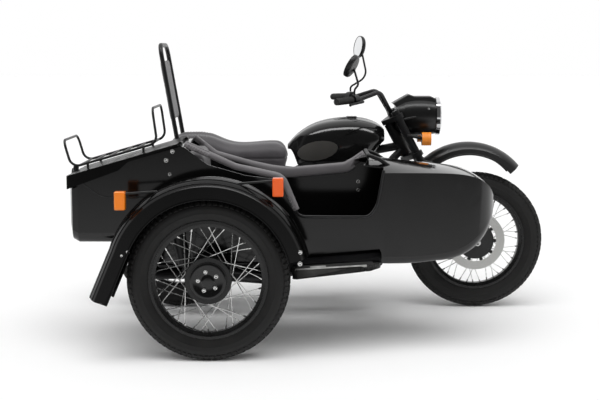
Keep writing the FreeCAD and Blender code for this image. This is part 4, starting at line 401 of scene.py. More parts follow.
def rubberBlack():
    finish = Finish("softRubber", IOR=1.45)
    cloud = finish.noise(40.0, 4)
    black = finish.ramp(cloud, (0.012, 0.012, 0.012, 1), (0.030, 0.030, 0.029, 1), high=0.8)
    finish.feed("Base Color", black)
    finish.feed("Roughness", finish.spread(cloud, 0.55, 0.75))
    finish.bump(finish.noise(1600.0, 2), 0.2, 0.0004)
    return finish.material


def lampPaint(name, edges, tint, rearTint=None, split=0.0):
    # a tinted lens between each two edges along X of a black holder. Behind the split it has its own tint
    finish = Finish(name, IOR=1.5)
    x, _, z = finish.axes()
    lens = sum(((x > rearMiddle.x + low) * (x < rearMiddle.x + high) for low, high in edges), 0.0)
    if rearTint is not None:
        tint = finish.mixed(x > rearMiddle.x + split, rearTint, tint)
    flutes = finish.sine(z * 1400.0)
    cloud = finish.noise(60.0, 3)
    black = finish.ramp(cloud, (0.003, 0.003, 0.003, 1), (0.008, 0.008, 0.008, 1))
    finish.feed("Base Color", finish.mixed(lens, black, tint))
    finish.feed("Roughness", finish.spread(cloud, 0.14, 0.24) + (1.0 - lens) * 0.2)
    finish.bump(flutes * lens, 0.4, 0.0008)
    return finish.material


def clearGlass():
    finish = Finish("headlampGlass", IOR=1.5, Transmission_Weight=0.95, Base_Color=(0.95, 0.97, 0.97, 1))
    flutes = finish.sine(finish.axes()[1] * 700.0)
    finish.feed("Roughness", finish.spread(finish.noise(50.0, 3), 0.02, 0.06))
    finish.bump(flutes, 0.3, 0.0006)
    return finish.material


def mirrorFace():
    finish = Finish("mirrorFace", Metallic=1.0)
    cloud = finish.noise(25.0, 2)
    finish.feed("Base Color", finish.ramp(cloud, (0.78, 0.79, 0.80, 1), (0.84, 0.85, 0.86, 1)))
    finish.feed("Roughness", finish.spread(cloud, 0.02, 0.05))
    return finish.material


print("materials")
purpleDark = (0.034, 0.031, 0.035, 1)
purpleLight = (0.070, 0.064, 0.070, 1)
paint = glossBlack("glossBlackPaint")
# the lid's black is lighter than the same gloss black elsewhere: painted light
lidPaintPaintedLight = glossBlack("lidPaintPaintedLight", depth=1.10, dark=0.004, light=0.008, smooth=0.22, dull=0.34)
# the mudguards' black is a touch darker than the same gloss black elsewhere: painted shade
mudguardPaintPaintedShade = glossBlack("mudguardPaintPaintedShade", depth=1.24, light=0.003, smooth=0.10, dull=0.18)
# rougher than the other gloss black, with a lighter base colour; the lighter colour is a painted highlight
# for the broad gleam on the headlamp shell and front mudguard
shellPaintPaintedHighlight = glossBlack("shellPaintPaintedHighlight", dark=0.004, light=0.008, smooth=0.26, dull=0.36)
# the tank's black is lighter than the same gloss black elsewhere: painted light
tankPaintPaintedLight = glossBlack("tankPaintPaintedLight", depth=1.50, dark=0.004, light=0.007, smooth=0.08, dull=0.16)
tube = satinBlack("satinBlackTube")
rubber = rubberBlack()
castAlloy = bareMetal("castAlloy", (0.30, 0.30, 0.30, 1), (0.46, 0.46, 0.45, 1), 0.38, 0.58, 260.0, 0.25)
darkAlloy = bareMetal("darkAlloy", (0.030, 0.030, 0.031, 1), (0.065, 0.065, 0.066, 1), 0.35, 0.55,
                      300.0, 0.2)
chrome = bareMetal("chromePlate", (0.62, 0.62, 0.63, 1), (0.74, 0.74, 0.75, 1), 0.06, 0.12, 90.0, 0.03)
stepFinish = bareMetal("stepBoardMetal", (0.020, 0.020, 0.020, 1), (0.050, 0.050, 0.048, 1), 0.34, 0.52,
                       220.0, 0.25)
# light grey finish for the step's edges: a painted highlight
paintedHighlightEdgeFinish = paintedHighlightEdge()
saddleVinyl = vinyl("saddleVinyl", purpleDark, purpleLight)
# the coaming rolls' vinyl is lighter than the seat vinyl: a painted highlight for the light rolled edges
# round the cockpit
rollVinylPaintedHighlight = vinyl("rollVinylPaintedHighlight", (0.105, 0.099, 0.104, 1), (0.165, 0.157, 0.163, 1))
glass = clearGlass()
brightSteel = bareMetal("brightSteel", (0.62, 0.62, 0.61, 1), (0.80, 0.80, 0.79, 1), 0.14, 0.26,
                        300.0, 0.06)
kneeRubber = vinyl("kneeRubber", (0.030, 0.028, 0.025, 1), (0.048, 0.045, 0.040, 1), scale=0.6)
edgePaint = satinBlack("edgePaint")
lensEdges = {"marker": ((-0.158, -0.1085), (0.4975, 0.547)), "indicator": ((1.2165, 1.28),),
             "tail": ((-0.400, -0.3198),), "markerSplit": 0.2}
markerPaint = lampPaint("markerLampPaint", lensEdges["marker"], (0.86, 0.12, 0.015, 1),
                        (0.88, 0.22, 0.01, 1), lensEdges["markerSplit"])
indicatorPaint = lampPaint("indicatorPaint", lensEdges["indicator"], (0.85, 0.27, 0.03, 1))
tailPaint = lampPaint("tailLampPaint", lensEdges["tail"], (0.55, 0.02, 0.01, 1))
mirror = mirrorFace()

slotFinishes = {
    "black_paint": paint, "black_frame": tube, "black_rim": tube, "mirror_glass": tube, "alloy": castAlloy,
    "black_alloy": darkAlloy, "chrome": chrome, "disc_steel": chrome, "step_metal": stepFinish,
    "vinyl": saddleVinyl, "rubber": rubber, "tyre": rubber, "amber_lens": markerPaint,
    "red_lens": tailPaint, "clear_lens": glass,
}
slotOfNode = {part["node"]: part["material_slot"] for part in frame["record"]["subparts"]}


def setFinish(nodeName, finish):
    faces = cadNodes[nodeName].data.materials
    faces.clear()
    faces.append(finish)


for nodeName, item in cadNodes.items():
    setFinish(nodeName, slotFinishes[slotOfNode[nodeName]])
    smooth(item, panelAngle)
wheelSizes = {"frontHub": 0.0665, "wideHub": 0.0995, "rimInside": 0.2225}
for place, centre, hub in (("front", frontMiddle, "frontHub"), ("rear", rearMiddle, "wideHub"),
                           ("sidecar", sideMiddle, "wideHub")):
    setFinish(place + "_wheel", wheelPaint(place + "_wheelPaint", centre, wheelSizes[hub],
                                           wheelSizes["rimInside"]))
    setFinish(place + "_tyre", tyreRubber(place + "_tyreRubber", centre))
setFinish("front_brake_disc", brushedDisc("frontDiscSteel", frontMiddle))
setFinish("front_indicators", indicatorPaint)
# the lid takes the lighter black, which is painted light
setFinish("trunk_lid", lidPaintPaintedLight)
# the mudguards take the darker black, which is painted shade
for nodeName in ("sidecar_fender", "rear_fender"):
    setFinish(nodeName, mudguardPaintPaintedShade)
# the headlamp shell and front mudguard take the lighter black with its painted highlight
for nodeName in ("front_fender", "headlamp_shell"):
    setFinish(nodeName, shellPaintPaintedHighlight)


# Bolts: one flanged head, copied to every place

boltSizes = {"sides": 12, "flange": 0.25, "ledge": 0.25, "head": 0.5, "chamfer": 0.15, "crown": 0.12,
             "dimple": 0.25, "dimpleDepth": 0.10}


def boltModel():
    # of radius 1, facing up
    flange = boltSizes["flange"]
    bolt = start("boltModel", "cylinder", vertices=boltSizes["sides"], radius=1.0, depth=flange,
                 location=(0, 0, flange / 2))
    edit(bolt, lambda place, normal: normal.z > squareOn)
    bpy.ops.mesh.inset(thickness=boltSizes["ledge"])
    bpy.ops.mesh.extrude_region_move(TRANSFORM_OT_translate={"value": (0, 0, boltSizes["head"])})
    bpy.ops.mesh.inset(thickness=boltSizes["chamfer"], depth=boltSizes["crown"])
    bpy.ops.mesh.inset(thickness=boltSizes["dimple"], depth=-boltSizes["dimpleDepth"])
    done()
    return bolt


def facing(normal):
    return Vector((0, 0, 1)).rotation_difference(Vector(normal)).to_matrix()


def onCircle(turn, radius, across):
    # a place on a circle about an axle that runs along Y
    return Vector((math.cos(turn) * radius, across, math.sin(turn) * radius))


def bolts(name, body, places, finish=brightSteel):
    # places: where each sits, which way it faces and its radius
    heads = [copyOf(oneBolt, name, move=place, turn=facing(normal), scale=radius)
             for place, normal, radius in places]
    addAll(join(heads, name), body, finish)


def ring(name, centre, normal, radius, wire, around=48, sides=10):
    clearAll()
    bpy.ops.mesh.primitive_torus_add(major_radius=radius, minor_radius=wire, major_segments=around,
                                     minor_segments=sides)
    piece = bpy.context.object
    piece.name = name
    piece.data.transform(Matrix.Translation(centre) @ facing(normal).to_4x4())
    return piece


def rolled(name, body, finish, points, radius, sides=12):
    addAll(pipe(name, [spot(*point) for point in points], radius, sides), body, finish)


oneBolt = boltModel()

print("tyres")
tyreSizes = {"steps": 252, "blockHeight": 0.0046, "blockEdge": 0.0010, "crownBend": 0.0592, "shy": 0.0004,
             "wall": ((0.0286, 0.2436), (0.0292, 0.2523), (0.0350, 0.2600), (0.0415, 0.2700),
                      (0.0462, 0.2815), (0.0474, 0.2830), (0.0476, 0.2860), (0.0472, 0.2872),
                      (0.0492, 0.2975), (0.0484, 0.3060), (0.0468, 0.3100), (0.0466, 0.3112),
                      (0.0440, 0.3155), (0.0418, 0.3185), (0.0385, 0.3235)),
             "crown": (0.035, 0.0305, 0.026, 0.023, 0.0165, 0.010, 0.007, 0.0),
             "shoulder": (0.026, 0.0418), "middle": (0.010, 0.023), "centre": 0.007, "blocksAbove": 0.318,
             "seam": 0.00005, "blockSteps": 3, "centreSteps": 6}


def crownAt(across):
    bend = tyreSizes["crownBend"]
    bare = tyreRadius - bend + math.sqrt(bend * bend - across * across)
    return bare - tyreSizes["blockHeight"] - tyreSizes["shy"]


def treadTyre(name, node, body, centre):
    steps = tyreSizes["steps"]
    half = list(tyreSizes["wall"]) + [(across, crownAt(across)) for across in tyreSizes["crown"]]
    outline = half + [(-across, radius) for across, radius in reversed(half[:-1])]
    tyre = start(name, "circle", vertices=len(outline), radius=0.1)
    for vertex, (across, radius) in zip(tyre.data.vertices, outline):
        vertex.co = centre + Vector((0, across, radius))
    edit(tyre)
    bpy.ops.mesh.spin(steps=steps, angle=math.tau, center=centre, axis=(0, 1, 0))
    bpy.ops.mesh.select_all(action="SELECT")
    bpy.ops.mesh.remove_doubles(threshold=tyreSizes["seam"])
    bpy.ops.mesh.normals_make_consistent(inside=False)
    done()

    def inBlock(place, normal):
        away = place - centre
        across = abs(away.y)
        if math.hypot(away.x, away.z) < tyreSizes["blocksAbove"]:
            return False
        step = int(math.atan2(away.x, away.z) / math.tau % 1 * steps)
        side = 1 if away.y > 0 else 0
        # every third step is a groove, and every sixth one in the middle row
        blockSteps, centreSteps = tyreSizes["blockSteps"], tyreSizes["centreSteps"]
        if tyreSizes["shoulder"][0] < across < tyreSizes["shoulder"][1]:
            return (step + side) % blockSteps < blockSteps - 1
        if tyreSizes["middle"][0] < across < tyreSizes["middle"][1]:
            return (step + side + 1) % blockSteps < blockSteps - 1
        return across < tyreSizes["centre"] and step % centreSteps < centreSteps - 1

    edit(tyre, inBlock)
    bpy.ops.mesh.inset(thickness=tyreSizes["blockEdge"], depth=tyreSizes["blockHeight"])
    done()
    addAll(tyre, body, cadNodes[node].data.materials[0], panelAngle)
    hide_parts(node)


treadTyre("frontTyreTread", "front_tyre", "front_wheel", frontMiddle)
treadTyre("rearTyreTread", "rear_tyre", "rear_wheel", rearMiddle)
treadTyre("sidecarTyreTread", "sidecar_tyre", "sidecar_wheel", sideMiddle)

print("wheel details")
nippleSizes = {"count": 40, "radius": 0.0036, "length": 0.014, "rimRadius": 0.2255, "rimSpread": 0.004,
               "stagger": 0.0015, "cross": 58, "hubLean": 0.0015, "hubInset": 0.004, "taper": 0.4,
               "tip": 0.5, "frontHub": (0.062, 0.036), "wideHub": (0.098, 0.040)}


def nipples(name, body, centre, flange, flangeHalf):
    # a six-sided nipple where each spoke meets the rim, in line with its spoke
    model = start(name + "Model", "cylinder", vertices=6, radius=nippleSizes["radius"],
                  depth=nippleSizes["length"])
    edit(model, lambda place, normal: abs(normal.z) > squareOn)
    bpy.ops.mesh.inset(thickness=nippleSizes["radius"] * nippleSizes["taper"],
                       depth=nippleSizes["radius"] * nippleSizes["tip"], use_individual=True)
    done()
    made = []
    for index in range(nippleSizes["count"]):
        side = 1 if index % 2 == 0 else -1
        lean = 1 if (index // 2) % 2 == 0 else -1
        rimTurn = math.tau * index / nippleSizes["count"]
        hubTurn = rimTurn + lean * math.radians(nippleSizes["cross"])
        rimEnd = onCircle(rimTurn, nippleSizes["rimRadius"],
                          side * nippleSizes["rimSpread"] + lean * nippleSizes["stagger"])
        hubEnd = onCircle(hubTurn, flange - nippleSizes["hubInset"],
                          side * flangeHalf + lean * nippleSizes["hubLean"])
        along = (hubEnd - rimEnd).normalized()
        middle = centre + rimEnd + along * nippleSizes["length"] * 0.5
        made.append(copyOf(model, name, move=middle, turn=facing(along)))
    bpy.data.objects.remove(model)
    addAll(join(made, name), body, brightSteel)


nipples("frontNipples", "front_wheel", frontMiddle, *nippleSizes["frontHub"])
nipples("rearNipples", "rear_wheel", rearMiddle, *nippleSizes["wideHub"])
nipples("sidecarNipples", "sidecar_wheel", sideMiddle, *nippleSizes["wideHub"])

hubCapSizes = {"radius": 0.076, "depth": 0.003, "face": 0.052, "boltCircle": 0.041, "boltRadius": 0.0085,
               "firstBolt": 103, "bolts": 5,
               "insets": ((0.004, 0.0012), (0.010, 0.0), (0.003, -0.0015), (0.030, 0.0), (0.004, 0.003),
                          (0.008, 0.001))}
capPlace = sideMiddle - Vector((0, hubCapSizes["face"] + hubCapSizes["depth"] / 2, 0))
cap = start("sidecarHubCover", "cylinder", vertices=64, radius=hubCapSizes["radius"],
            depth=hubCapSizes["depth"], location=capPlace, rotation=(math.radians(90), 0, 0))
edit(cap, lambda place, normal: normal.y < -squareOn)
for thickness, depth in hubCapSizes["insets"]:
    bpy.ops.mesh.inset(thickness=thickness, depth=depth)
done()
addAll(cap, "sidecar_wheel", paint)
capFace = hubCapSizes["face"] + hubCapSizes["depth"]
boltTurns = [math.radians(hubCapSizes["firstBolt"] + index * 360 / hubCapSizes["bolts"])
             for index in range(hubCapSizes["bolts"])]
bolts("sidecarHubBolts", "sidecar_wheel",
      [(sideMiddle + onCircle(turn, hubCapSizes["boltCircle"], -capFace), (0, -1, 0),
        hubCapSizes["boltRadius"]) for turn in boltTurns])
nutSizes = {"radius": 0.016, "front": 0.1357, "rear": 0.1382}
for name, body, middle, across in (("frontAxleNuts", "steering", frontMiddle, nutSizes["front"]),
                                   ("rearAxleNuts", "chassis", rearMiddle, nutSizes["rear"])):
    bolts(name, body,
          [(middle + Vector((0, side * across, 0)), (0, side, 0), nutSizes["radius"]) for side in (-1, 1)])

print("brake disc")
discSizes = {"bobbins": 10, "circle": 0.0975, "radius": 0.0075, "face": -0.0595}
bobbinTurns = [math.tau * index / discSizes["bobbins"] for index in range(discSizes["bobbins"])]
bolts("frontDiscBobbins", "front_wheel",
      [(frontMiddle + onCircle(turn, discSizes["circle"], discSizes["face"]), (0, -1, 0),
        discSizes["radius"]) for turn in bobbinTurns], tube)

print("mirrors")
mirrorSizes = {"radius": 0.0545, "yaw": 20, "depth": 0.0012, "bevel": 0.0015, "bevelRise": 0.0004,
               "glassStand": 0.0005, "rimStand": 0.0006, "rimRadius": 0.0558, "rimWire": 0.0018,
               "heads": (("rightMirrorGlass", -1, (0.852, -0.300, 1.230), 28),
                         ("leftMirrorGlass", 1, (0.918, 0.300, 1.320), 9))}
for name, side, centre, tilt in mirrorSizes["heads"]:
    turned = (Matrix.Rotation(math.radians(side * mirrorSizes["yaw"]), 3, "Z")
              @ Matrix.Rotation(math.radians(tilt), 3, "Y"))
    face = turned @ Vector((-1, 0, 0))
    disc = start(name, "cylinder", vertices=64, radius=mirrorSizes["radius"], depth=mirrorSizes["depth"])
    edit(disc, lambda place, normal: normal.z > squareOn)
    bpy.ops.mesh.inset(thickness=mirrorSizes["bevel"], depth=mirrorSizes["bevelRise"])
    done()
    glassPlace = spot(*centre) + face * mirrorSizes["glassStand"]
    disc.data.transform(Matrix.Translation(glassPlace) @ facing(face).to_4x4())
    addAll(disc, "steering", mirror)
    rim = ring(name + "Rim", spot(*centre) + face * mirrorSizes["rimStand"], face, mirrorSizes["rimRadius"],
               mirrorSizes["rimWire"])
    addAll(rim, "steering", rubber)

print("lamps")
reflectorSizes = {"radius": 0.0735, "place": (1.3012, 0, 0.972),
                  "insets": ((0.006, -0.0022), (0.012, -0.0018), (0.018, -0.0012), (0.014, -0.0006),
                             (0.008, 0.004), (0.006, 0.002))}
screwSizes = {"along": 1.252, "across": 0.0965, "height": 1.012, "lean": 0.25, "radius": 0.0062}
reflector = start("headlampReflector", "circle", vertices=64, radius=reflectorSizes["radius"],
                  fill_type="NGON", location=spot(*reflectorSizes["place"]),
                  rotation=(0, math.radians(90), 0))
edit(reflector)
for thickness, depth in reflectorSizes["insets"]:
    bpy.ops.mesh.inset(thickness=thickness, depth=depth)
done()
addAll(reflector, "steering", chrome)
bolts("headlampScrews", "steering",
      [(spot(screwSizes["along"], side * screwSizes["across"], screwSizes["height"]),
        (0, side, screwSizes["lean"]), screwSizes["radius"]) for side in (-1, 1)])

print("dial")
dialSizes = {"centre": (1.1155, 0, 1.061), "normal": (-0.494, 0, 0.869), "up": (0.869, 0, 0.494),
             "radius": 0.0345, "lift": 0.0006, "rim": 0.002, "rimDepth": -0.0004,
             "firstTurn": -130, "lastTurn": 130}
tickSizes = {"count": 33, "longEvery": 8, "long": 0.0065, "short": 0.0035, "width": 0.0007, "thick": 0.0004,
             "outer": 0.0315, "lift": 0.0009}
numberSizes = {"count": 5, "step": 4, "size": 0.0075, "thick": 0.0002, "circle": 0.0205, "lift": 0.0010}
needleSizes = {"middle": (0, 0.009, 0.0018), "size": (0.0014, 0.024, 0.0006), "tipFrom": 0.015,
               "taper": 0.3, "turn": 130}


def dialAngle(index, count):
    share = index / (count - 1)
    return math.radians(dialSizes["firstTurn"] + share * (dialSizes["lastTurn"] - dialSizes["firstTurn"]))


dialTurn = Matrix((Vector((0, -1, 0)), Vector(dialSizes["up"]), Vector(dialSizes["normal"]))).transposed()
dialPlace = Matrix.Translation(spot(*dialSizes["centre"])) @ dialTurn.to_4x4()
dialFace = start("speedDialFace", "circle", vertices=48, radius=dialSizes["radius"], fill_type="NGON",
                 location=(0, 0, dialSizes["lift"]))
edit(dialFace)
bpy.ops.mesh.inset(thickness=dialSizes["rim"], depth=dialSizes["rimDepth"])
done()
dialFace.data.transform(dialPlace)
addAll(dialFace, "steering", tube)
marks = []
for index in range(tickSizes["count"]):
    length = tickSizes["long"] if index % tickSizes["longEvery"] == 0 else tickSizes["short"]
    tick = start("tick", "cube", size=1, location=(0, tickSizes["outer"] - length / 2, tickSizes["lift"]),
                 scale=(tickSizes["width"], length, tickSizes["thick"]))
    tick.data.transform(Matrix.Rotation(-dialAngle(index, tickSizes["count"]), 4, "Z"))
    marks.append(tick)
for index in range(numberSizes["count"]):
    turn = dialAngle(index, numberSizes["count"])
    clearAll()
    bpy.ops.object.text_add(location=(0, 0, 0))
    words = bpy.context.object
    words.data.body = str(index * numberSizes["step"])
    words.data.size = numberSizes["size"]
    words.data.align_x = "CENTER"
    words.data.align_y = "CENTER"
    words.data.extrude = numberSizes["thick"]
    pickOnly(words)
    bpy.ops.object.convert(target="MESH")
    number = bpy.context.object
    number.data.transform(Matrix.Translation((math.sin(turn) * numberSizes["circle"],
                                              math.cos(turn) * numberSizes["circle"], numberSizes["lift"])))
    marks.append(number)
needle = start("needle", "cube", size=1, location=needleSizes["middle"], scale=needleSizes["size"])
edit(needle, lambda place, normal: place.y > needleSizes["tipFrom"], "VERT")
bpy.ops.transform.resize(value=(needleSizes["taper"], 1, 1))
done()
needle.data.transform(Matrix.Rotation(math.radians(needleSizes["turn"]), 4, "Z"))
marks.append(needle)
dialMarks = join(marks, "speedDialMarks")
dialMarks.data.transform(dialPlace)
addAll(dialMarks, "steering", brightSteel)

print("grips")
gripSizes = {"end": (0.790, 0.350, 1.057), "axis": (0.6214, 0.7822, 0.0425), "from": 0.004, "pitch": 0.0062,
             "rings": 18, "radius": 0.0155, "wire": 0.0017,
             "collarBack": 0.006, "collarRadius": 0.0125, "collarWire": 0.0035}
for side, name in ((-1, "rightGripRibs"), (1, "leftGripRibs")):
    axis = Vector((gripSizes["axis"][0], -side * gripSizes["axis"][1], gripSizes["axis"][2]))
    end = spot(gripSizes["end"][0], side * gripSizes["end"][1], gripSizes["end"][2])
    ribs = [ring(name, end + axis * (gripSizes["from"] + gripSizes["pitch"] * index), axis,
                 gripSizes["radius"], gripSizes["wire"], 24, 6) for index in range(gripSizes["rings"])]
    ribs.append(ring(name, end - axis * gripSizes["collarBack"], axis, gripSizes["collarRadius"],
                     gripSizes["collarWire"], 24, 8))
    addAll(join(ribs, name), "steering", rubber)

print("rolled edges")
sillSizes = {"radius": 0.0065, "side": -0.9805,
             "line": ((0.578, 0.660), (0.590, 0.632), (0.600, 0.602), (0.622, 0.590), (0.640, 0.589),
                      (0.760, 0.588), (0.885, 0.588), (0.905, 0.590), (0.925, 0.606), (0.944, 0.640),
                      (0.950, 0.665), (0.962, 0.733), (0.972, 0.790))}
rolled("sillRolledEdge", "chassis", edgePaint,
       [(x, sillSizes["side"], z) for x, z in sillSizes["line"]], sillSizes["radius"])
creaseSizes = {"radius": 0.0022, "side": -0.9800,
               "line": ((-0.342, 0.752), (-0.331, 0.741), (-0.262, 0.688), (-0.236, 0.677), (-0.200, 0.675),
                        (0.050, 0.675))}
rolled("trunkCrease", "chassis", edgePaint,
       [(x, creaseSizes["side"], z) for x, z in creaseSizes["line"]], creaseSizes["radius"], 8)

print("fasteners")
fastenerSizes = {
    "trunkBolts": (-0.9800, ((0.0656, 0.871, 0.0095), (0.0383, 0.833, 0.0095), (0.0527, 0.773, 0.0075))),
    "noseScrews": (-0.4830, ((0.885, 0.690, 0.0085), (0.885, 0.650, 0.0085))),
    "mudguardBolts": (-1.2405, ((0.612, 0.4756, 0.0095), (0.612, 0.428, 0.0095), (-0.122, 0.463, 0.0075),
                                (-0.0976, 0.479, 0.0075))),
}
for name, (across, heads) in fastenerSizes.items():
    bolts(name, "chassis",
          [(spot(x, across, z), (0, -1, 0), radius) for x, z, radius in heads])

print("tank")
tankSizes = {"widest": 0.880, "reach": 0.716, "tunnel": 0.040, "ease": 0.030, "rear": (0.55, 0.60),
             "front": (1.02, 0.930), "padCentre": (0.700, 0.806), "padHalf": (0.100, 0.046),
             "padInner": 0.06, "padTilt": 12, "padCuts": 18, "padDepth": 0.004}
tank = copyOf(cadNodes["fuel_tank"], "fuelTankShell")
weld(tank)
tankLow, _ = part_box("fuel_tank")
for vertex in tank.data.vertices:
    # the flanks come down on both sides of the frame's top tube
    if vertex.co.z < tankSizes["widest"]:
        along = vertex.co.x - rearMiddle.x
        across = abs(vertex.co.y - rearMiddle.y)
        share = (tankSizes["widest"] - vertex.co.z) / (tankSizes["widest"] - tankLow.z)
        ends = within(along, *tankSizes["rear"]) * within(along, *tankSizes["front"])
        flank = within(across, tankSizes["tunnel"], tankSizes["tunnel"] + tankSizes["ease"])
        vertex.co.z -= share * (tankLow.z - tankSizes["reach"]) * ends * flank
for side, name in ((-1, "rightKneePad"), (1, "leftKneePad")):
    pad = copyOf(tank, name)
    edit(pad)
    bpy.ops.mesh.bisect(plane_co=spot(0, side * tankSizes["padInner"], 0), plane_no=(0, -side, 0),
                        clear_outer=True)
    halfLong, halfHigh = tankSizes["padHalf"]
    tilted = Matrix.Rotation(math.radians(-tankSizes["padTilt"]), 3, "Y")
    for index in range(tankSizes["padCuts"]):
        turn = math.tau * index / tankSizes["padCuts"]
        edge = tilted @ Vector((math.cos(turn) * halfLong, 0, math.sin(turn) * halfHigh))
        away = tilted @ Vector((math.cos(turn) / halfLong, 0, math.sin(turn) / halfHigh))
        bpy.ops.mesh.select_all(action="SELECT")
        bpy.ops.mesh.bisect(plane_co=spot(tankSizes["padCentre"][0], 0, tankSizes["padCentre"][1]) + edge,
                            plane_no=away.normalized(), clear_outer=True)
    done()
    modify(pad, "SOLIDIFY", thickness=tankSizes["padDepth"], offset=1.0)
    addAll(pad, "chassis", kneeRubber)
# the tank takes the lighter black, which is painted light
addAll(tank, "chassis", tankPaintPaintedLight, tankAngle)
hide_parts("fuel_tank")

print("belly")
bellySizes = {"rise": (0.90, 0.97), "fall": (1.40, 1.20), "height": (0.47, 0.36), "lift": 0.026}
tubeSizes = {"beside": (0.60, 0.90), "besideLift": 0.030, "noseLift": 0.055, "far": (-0.42, -0.62),
             "elbowLift": 0.052, "elbowAlong": (0.70, 0.85), "elbowNear": (-0.62, -0.45),
             "elbowFar": (-0.15, -0.30), "elbowHeight": (0.36, 0.28)}


def lifted(name, node, finish, change, merged=True):
    # a copy of a node with its points moved, which stands for the node
    piece = copyOf(cadNodes[node], name)
    if merged:
        weld(piece)
    for vertex in piece.data.vertices:
        change(vertex, vertex.co - spot(0, 0, 0))
    addAll(piece, "chassis", finish, panelAngle)
    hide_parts(node)


def liftBody(vertex, place):
    # the nose's belly rises ahead of the step
    nose = within(place.x, *bellySizes["rise"]) * within(place.x, *bellySizes["fall"])
    vertex.co.z += nose * within(place.z, *bellySizes["height"]) * bellySizes["lift"]


def liftTube(vertex, place):
    # the near frame tube rises with the belly, and so does the elbow of the front clamp
    rise = (within(place.x, *tubeSizes["beside"]) * tubeSizes["besideLift"]
            + within(place.x, *bellySizes["rise"]) * tubeSizes["noseLift"])
    elbow = (within(place.y, *tubeSizes["elbowFar"]) * within(place.y, *tubeSizes["elbowNear"])
             * within(place.z, *tubeSizes["elbowHeight"]) * within(place.x, *tubeSizes["elbowAlong"]))
    vertex.co.z += (rise * within(place.y, *tubeSizes["far"]) * within(place.z, *bellySizes["height"])
                    + elbow * tubeSizes["elbowLift"])


# not merged, which keeps the panels' own shading
lifted("sidecarShell", "sidecar_body", paint, liftBody, merged=False)
lifted("sidecarFrameTubes", "sidecar_frame", tube, liftTube)

print("step")
stepSizes = {"along": (0.60, 0.925), "height": (0.335, 0.375), "topRise": 0.020, "bottomRise": 0.038,
             "ribs": 6, "ribFrom": -1.070, "ribPitch": 0.014, "ribRadius": 0.0035,
             "ribLine": (0.600, 0.70, 0.80, 0.925), "roll": -1.0845, "rollRadius": 0.0055,
             "rollLine": (0.592, 0.66, 0.74, 0.82, 0.895), "bar": -1.075, "barAbove": 0.005,
             "barRadius": 0.0055, "barLine": (0.655, 0.675, 0.700, 0.722)}


def stepRise(along, height):
    # the board slopes up towards the front and thins
    top = within(height, *stepSizes["height"])
    return within(along, *stepSizes["along"]) * (
        top * stepSizes["topRise"] + (1 - top) * stepSizes["bottomRise"])


def liftStep(vertex, place):
    vertex.co.z += stepRise(place.x, place.z)


def onStep(x, y, above=0.0):
    top = stepSizes["height"][1]
    return x, y, top + stepRise(x, top) + above


lifted("stepBoard", "step_plate", stepFinish, liftStep)
# the near roll's light grey is a painted highlight
rolled("stepNearRoll", "chassis", paintedHighlightEdgeFinish,
       [onStep(x, stepSizes["roll"]) for x in stepSizes["rollLine"]], stepSizes["rollRadius"], 8)
stepRibs = []
for index in range(stepSizes["ribs"]):
    across = stepSizes["ribFrom"] + stepSizes["ribPitch"] * index
    stepRibs.append(pipe("stepTreadRibs", [spot(*onStep(x, across)) for x in stepSizes["ribLine"]],
                         stepSizes["ribRadius"], 8))
addAll(join(stepRibs, "stepTreadRibs"), "chassis", rubber)
# the bar's light grey is the same painted highlight
rolled("stepBar", "chassis", paintedHighlightEdgeFinish,
       [onStep(x, stepSizes["bar"], stepSizes["barAbove"]) for x in stepSizes["barLine"]],
       stepSizes["barRadius"], 12)

print("latch")
latchSizes = {"place": (-0.392, -0.73, 0.765), "size": (0.016, 0.040, 0.050), "bevel": 0.002,
              "insets": ((0.006, 0.004), (0.004, -0.002)), "haspRadius": 0.003,
              "hasp": ((-0.404, -0.748, 0.778), (-0.412, -0.748, 0.760), (-0.410, -0.730, 0.735),
                       (-0.412, -0.712, 0.760), (-0.404, -0.712, 0.778))}
latch = start("trunkLatch", "cube", size=1, location=spot(*latchSizes["place"]), scale=latchSizes["size"])
edit(latch, lambda place, normal: normal.x < -squareOn)
for thickness, depth in latchSizes["insets"]:
    bpy.ops.mesh.inset(thickness=thickness, depth=depth)
done()
modify(latch, "BEVEL", width=latchSizes["bevel"], segments=2, limit_method="ANGLE")
addAll(latch, "trunk_lid", tube)
rolled("trunkHasp", "trunk_lid", brightSteel, latchSizes["hasp"], latchSizes["haspRadius"], 8)


# Cushions: a copy of the CAD node, blown up by the cloth solver

def inflate(piece, voxel, pressure, cap, rounds=20):
    # remeshed, swollen with the cloth solver and applied
    pickOnly(piece)
    piece.data.remesh_voxel_size = voxel
    bpy.ops.object.voxel_remesh()
    rest = [vertex.co.copy() for vertex in piece.data.vertices]
    cloth = piece.modifiers.new("cloth", "CLOTH")
    fabric = cloth.settings
    fabric.use_pressure = True
    fabric.uniform_pressure_force = pressure
    fabric.effector_weights.gravity = 0
    fabric.quality = 4
    cloth.point_cache.frame_start = 1
    cloth.point_cache.frame_end = rounds
    for step in range(1, rounds + 1):
        bpy.context.scene.frame_set(step)
    pickOnly(piece)
    bpy.ops.object.modifier_apply(modifier=cloth.name)
    bpy.context.scene.frame_set(1)
    for vertex, home in zip(piece.data.vertices, rest):
        travel = vertex.co - home
        if travel.length > cap:
            vertex.co = home + travel.normalized() * cap


def cushionOf(node, name, sizes):
    # blown up and smoothed
    cushion = copyOf(cadNodes[node], name)
    weld(cushion)
    inflate(cushion, sizes["voxel"], sizes["pressure"], sizes["cap"])
    modify(cushion, "SMOOTH", factor=0.5, iterations=sizes["smoothing"])
    return cushion


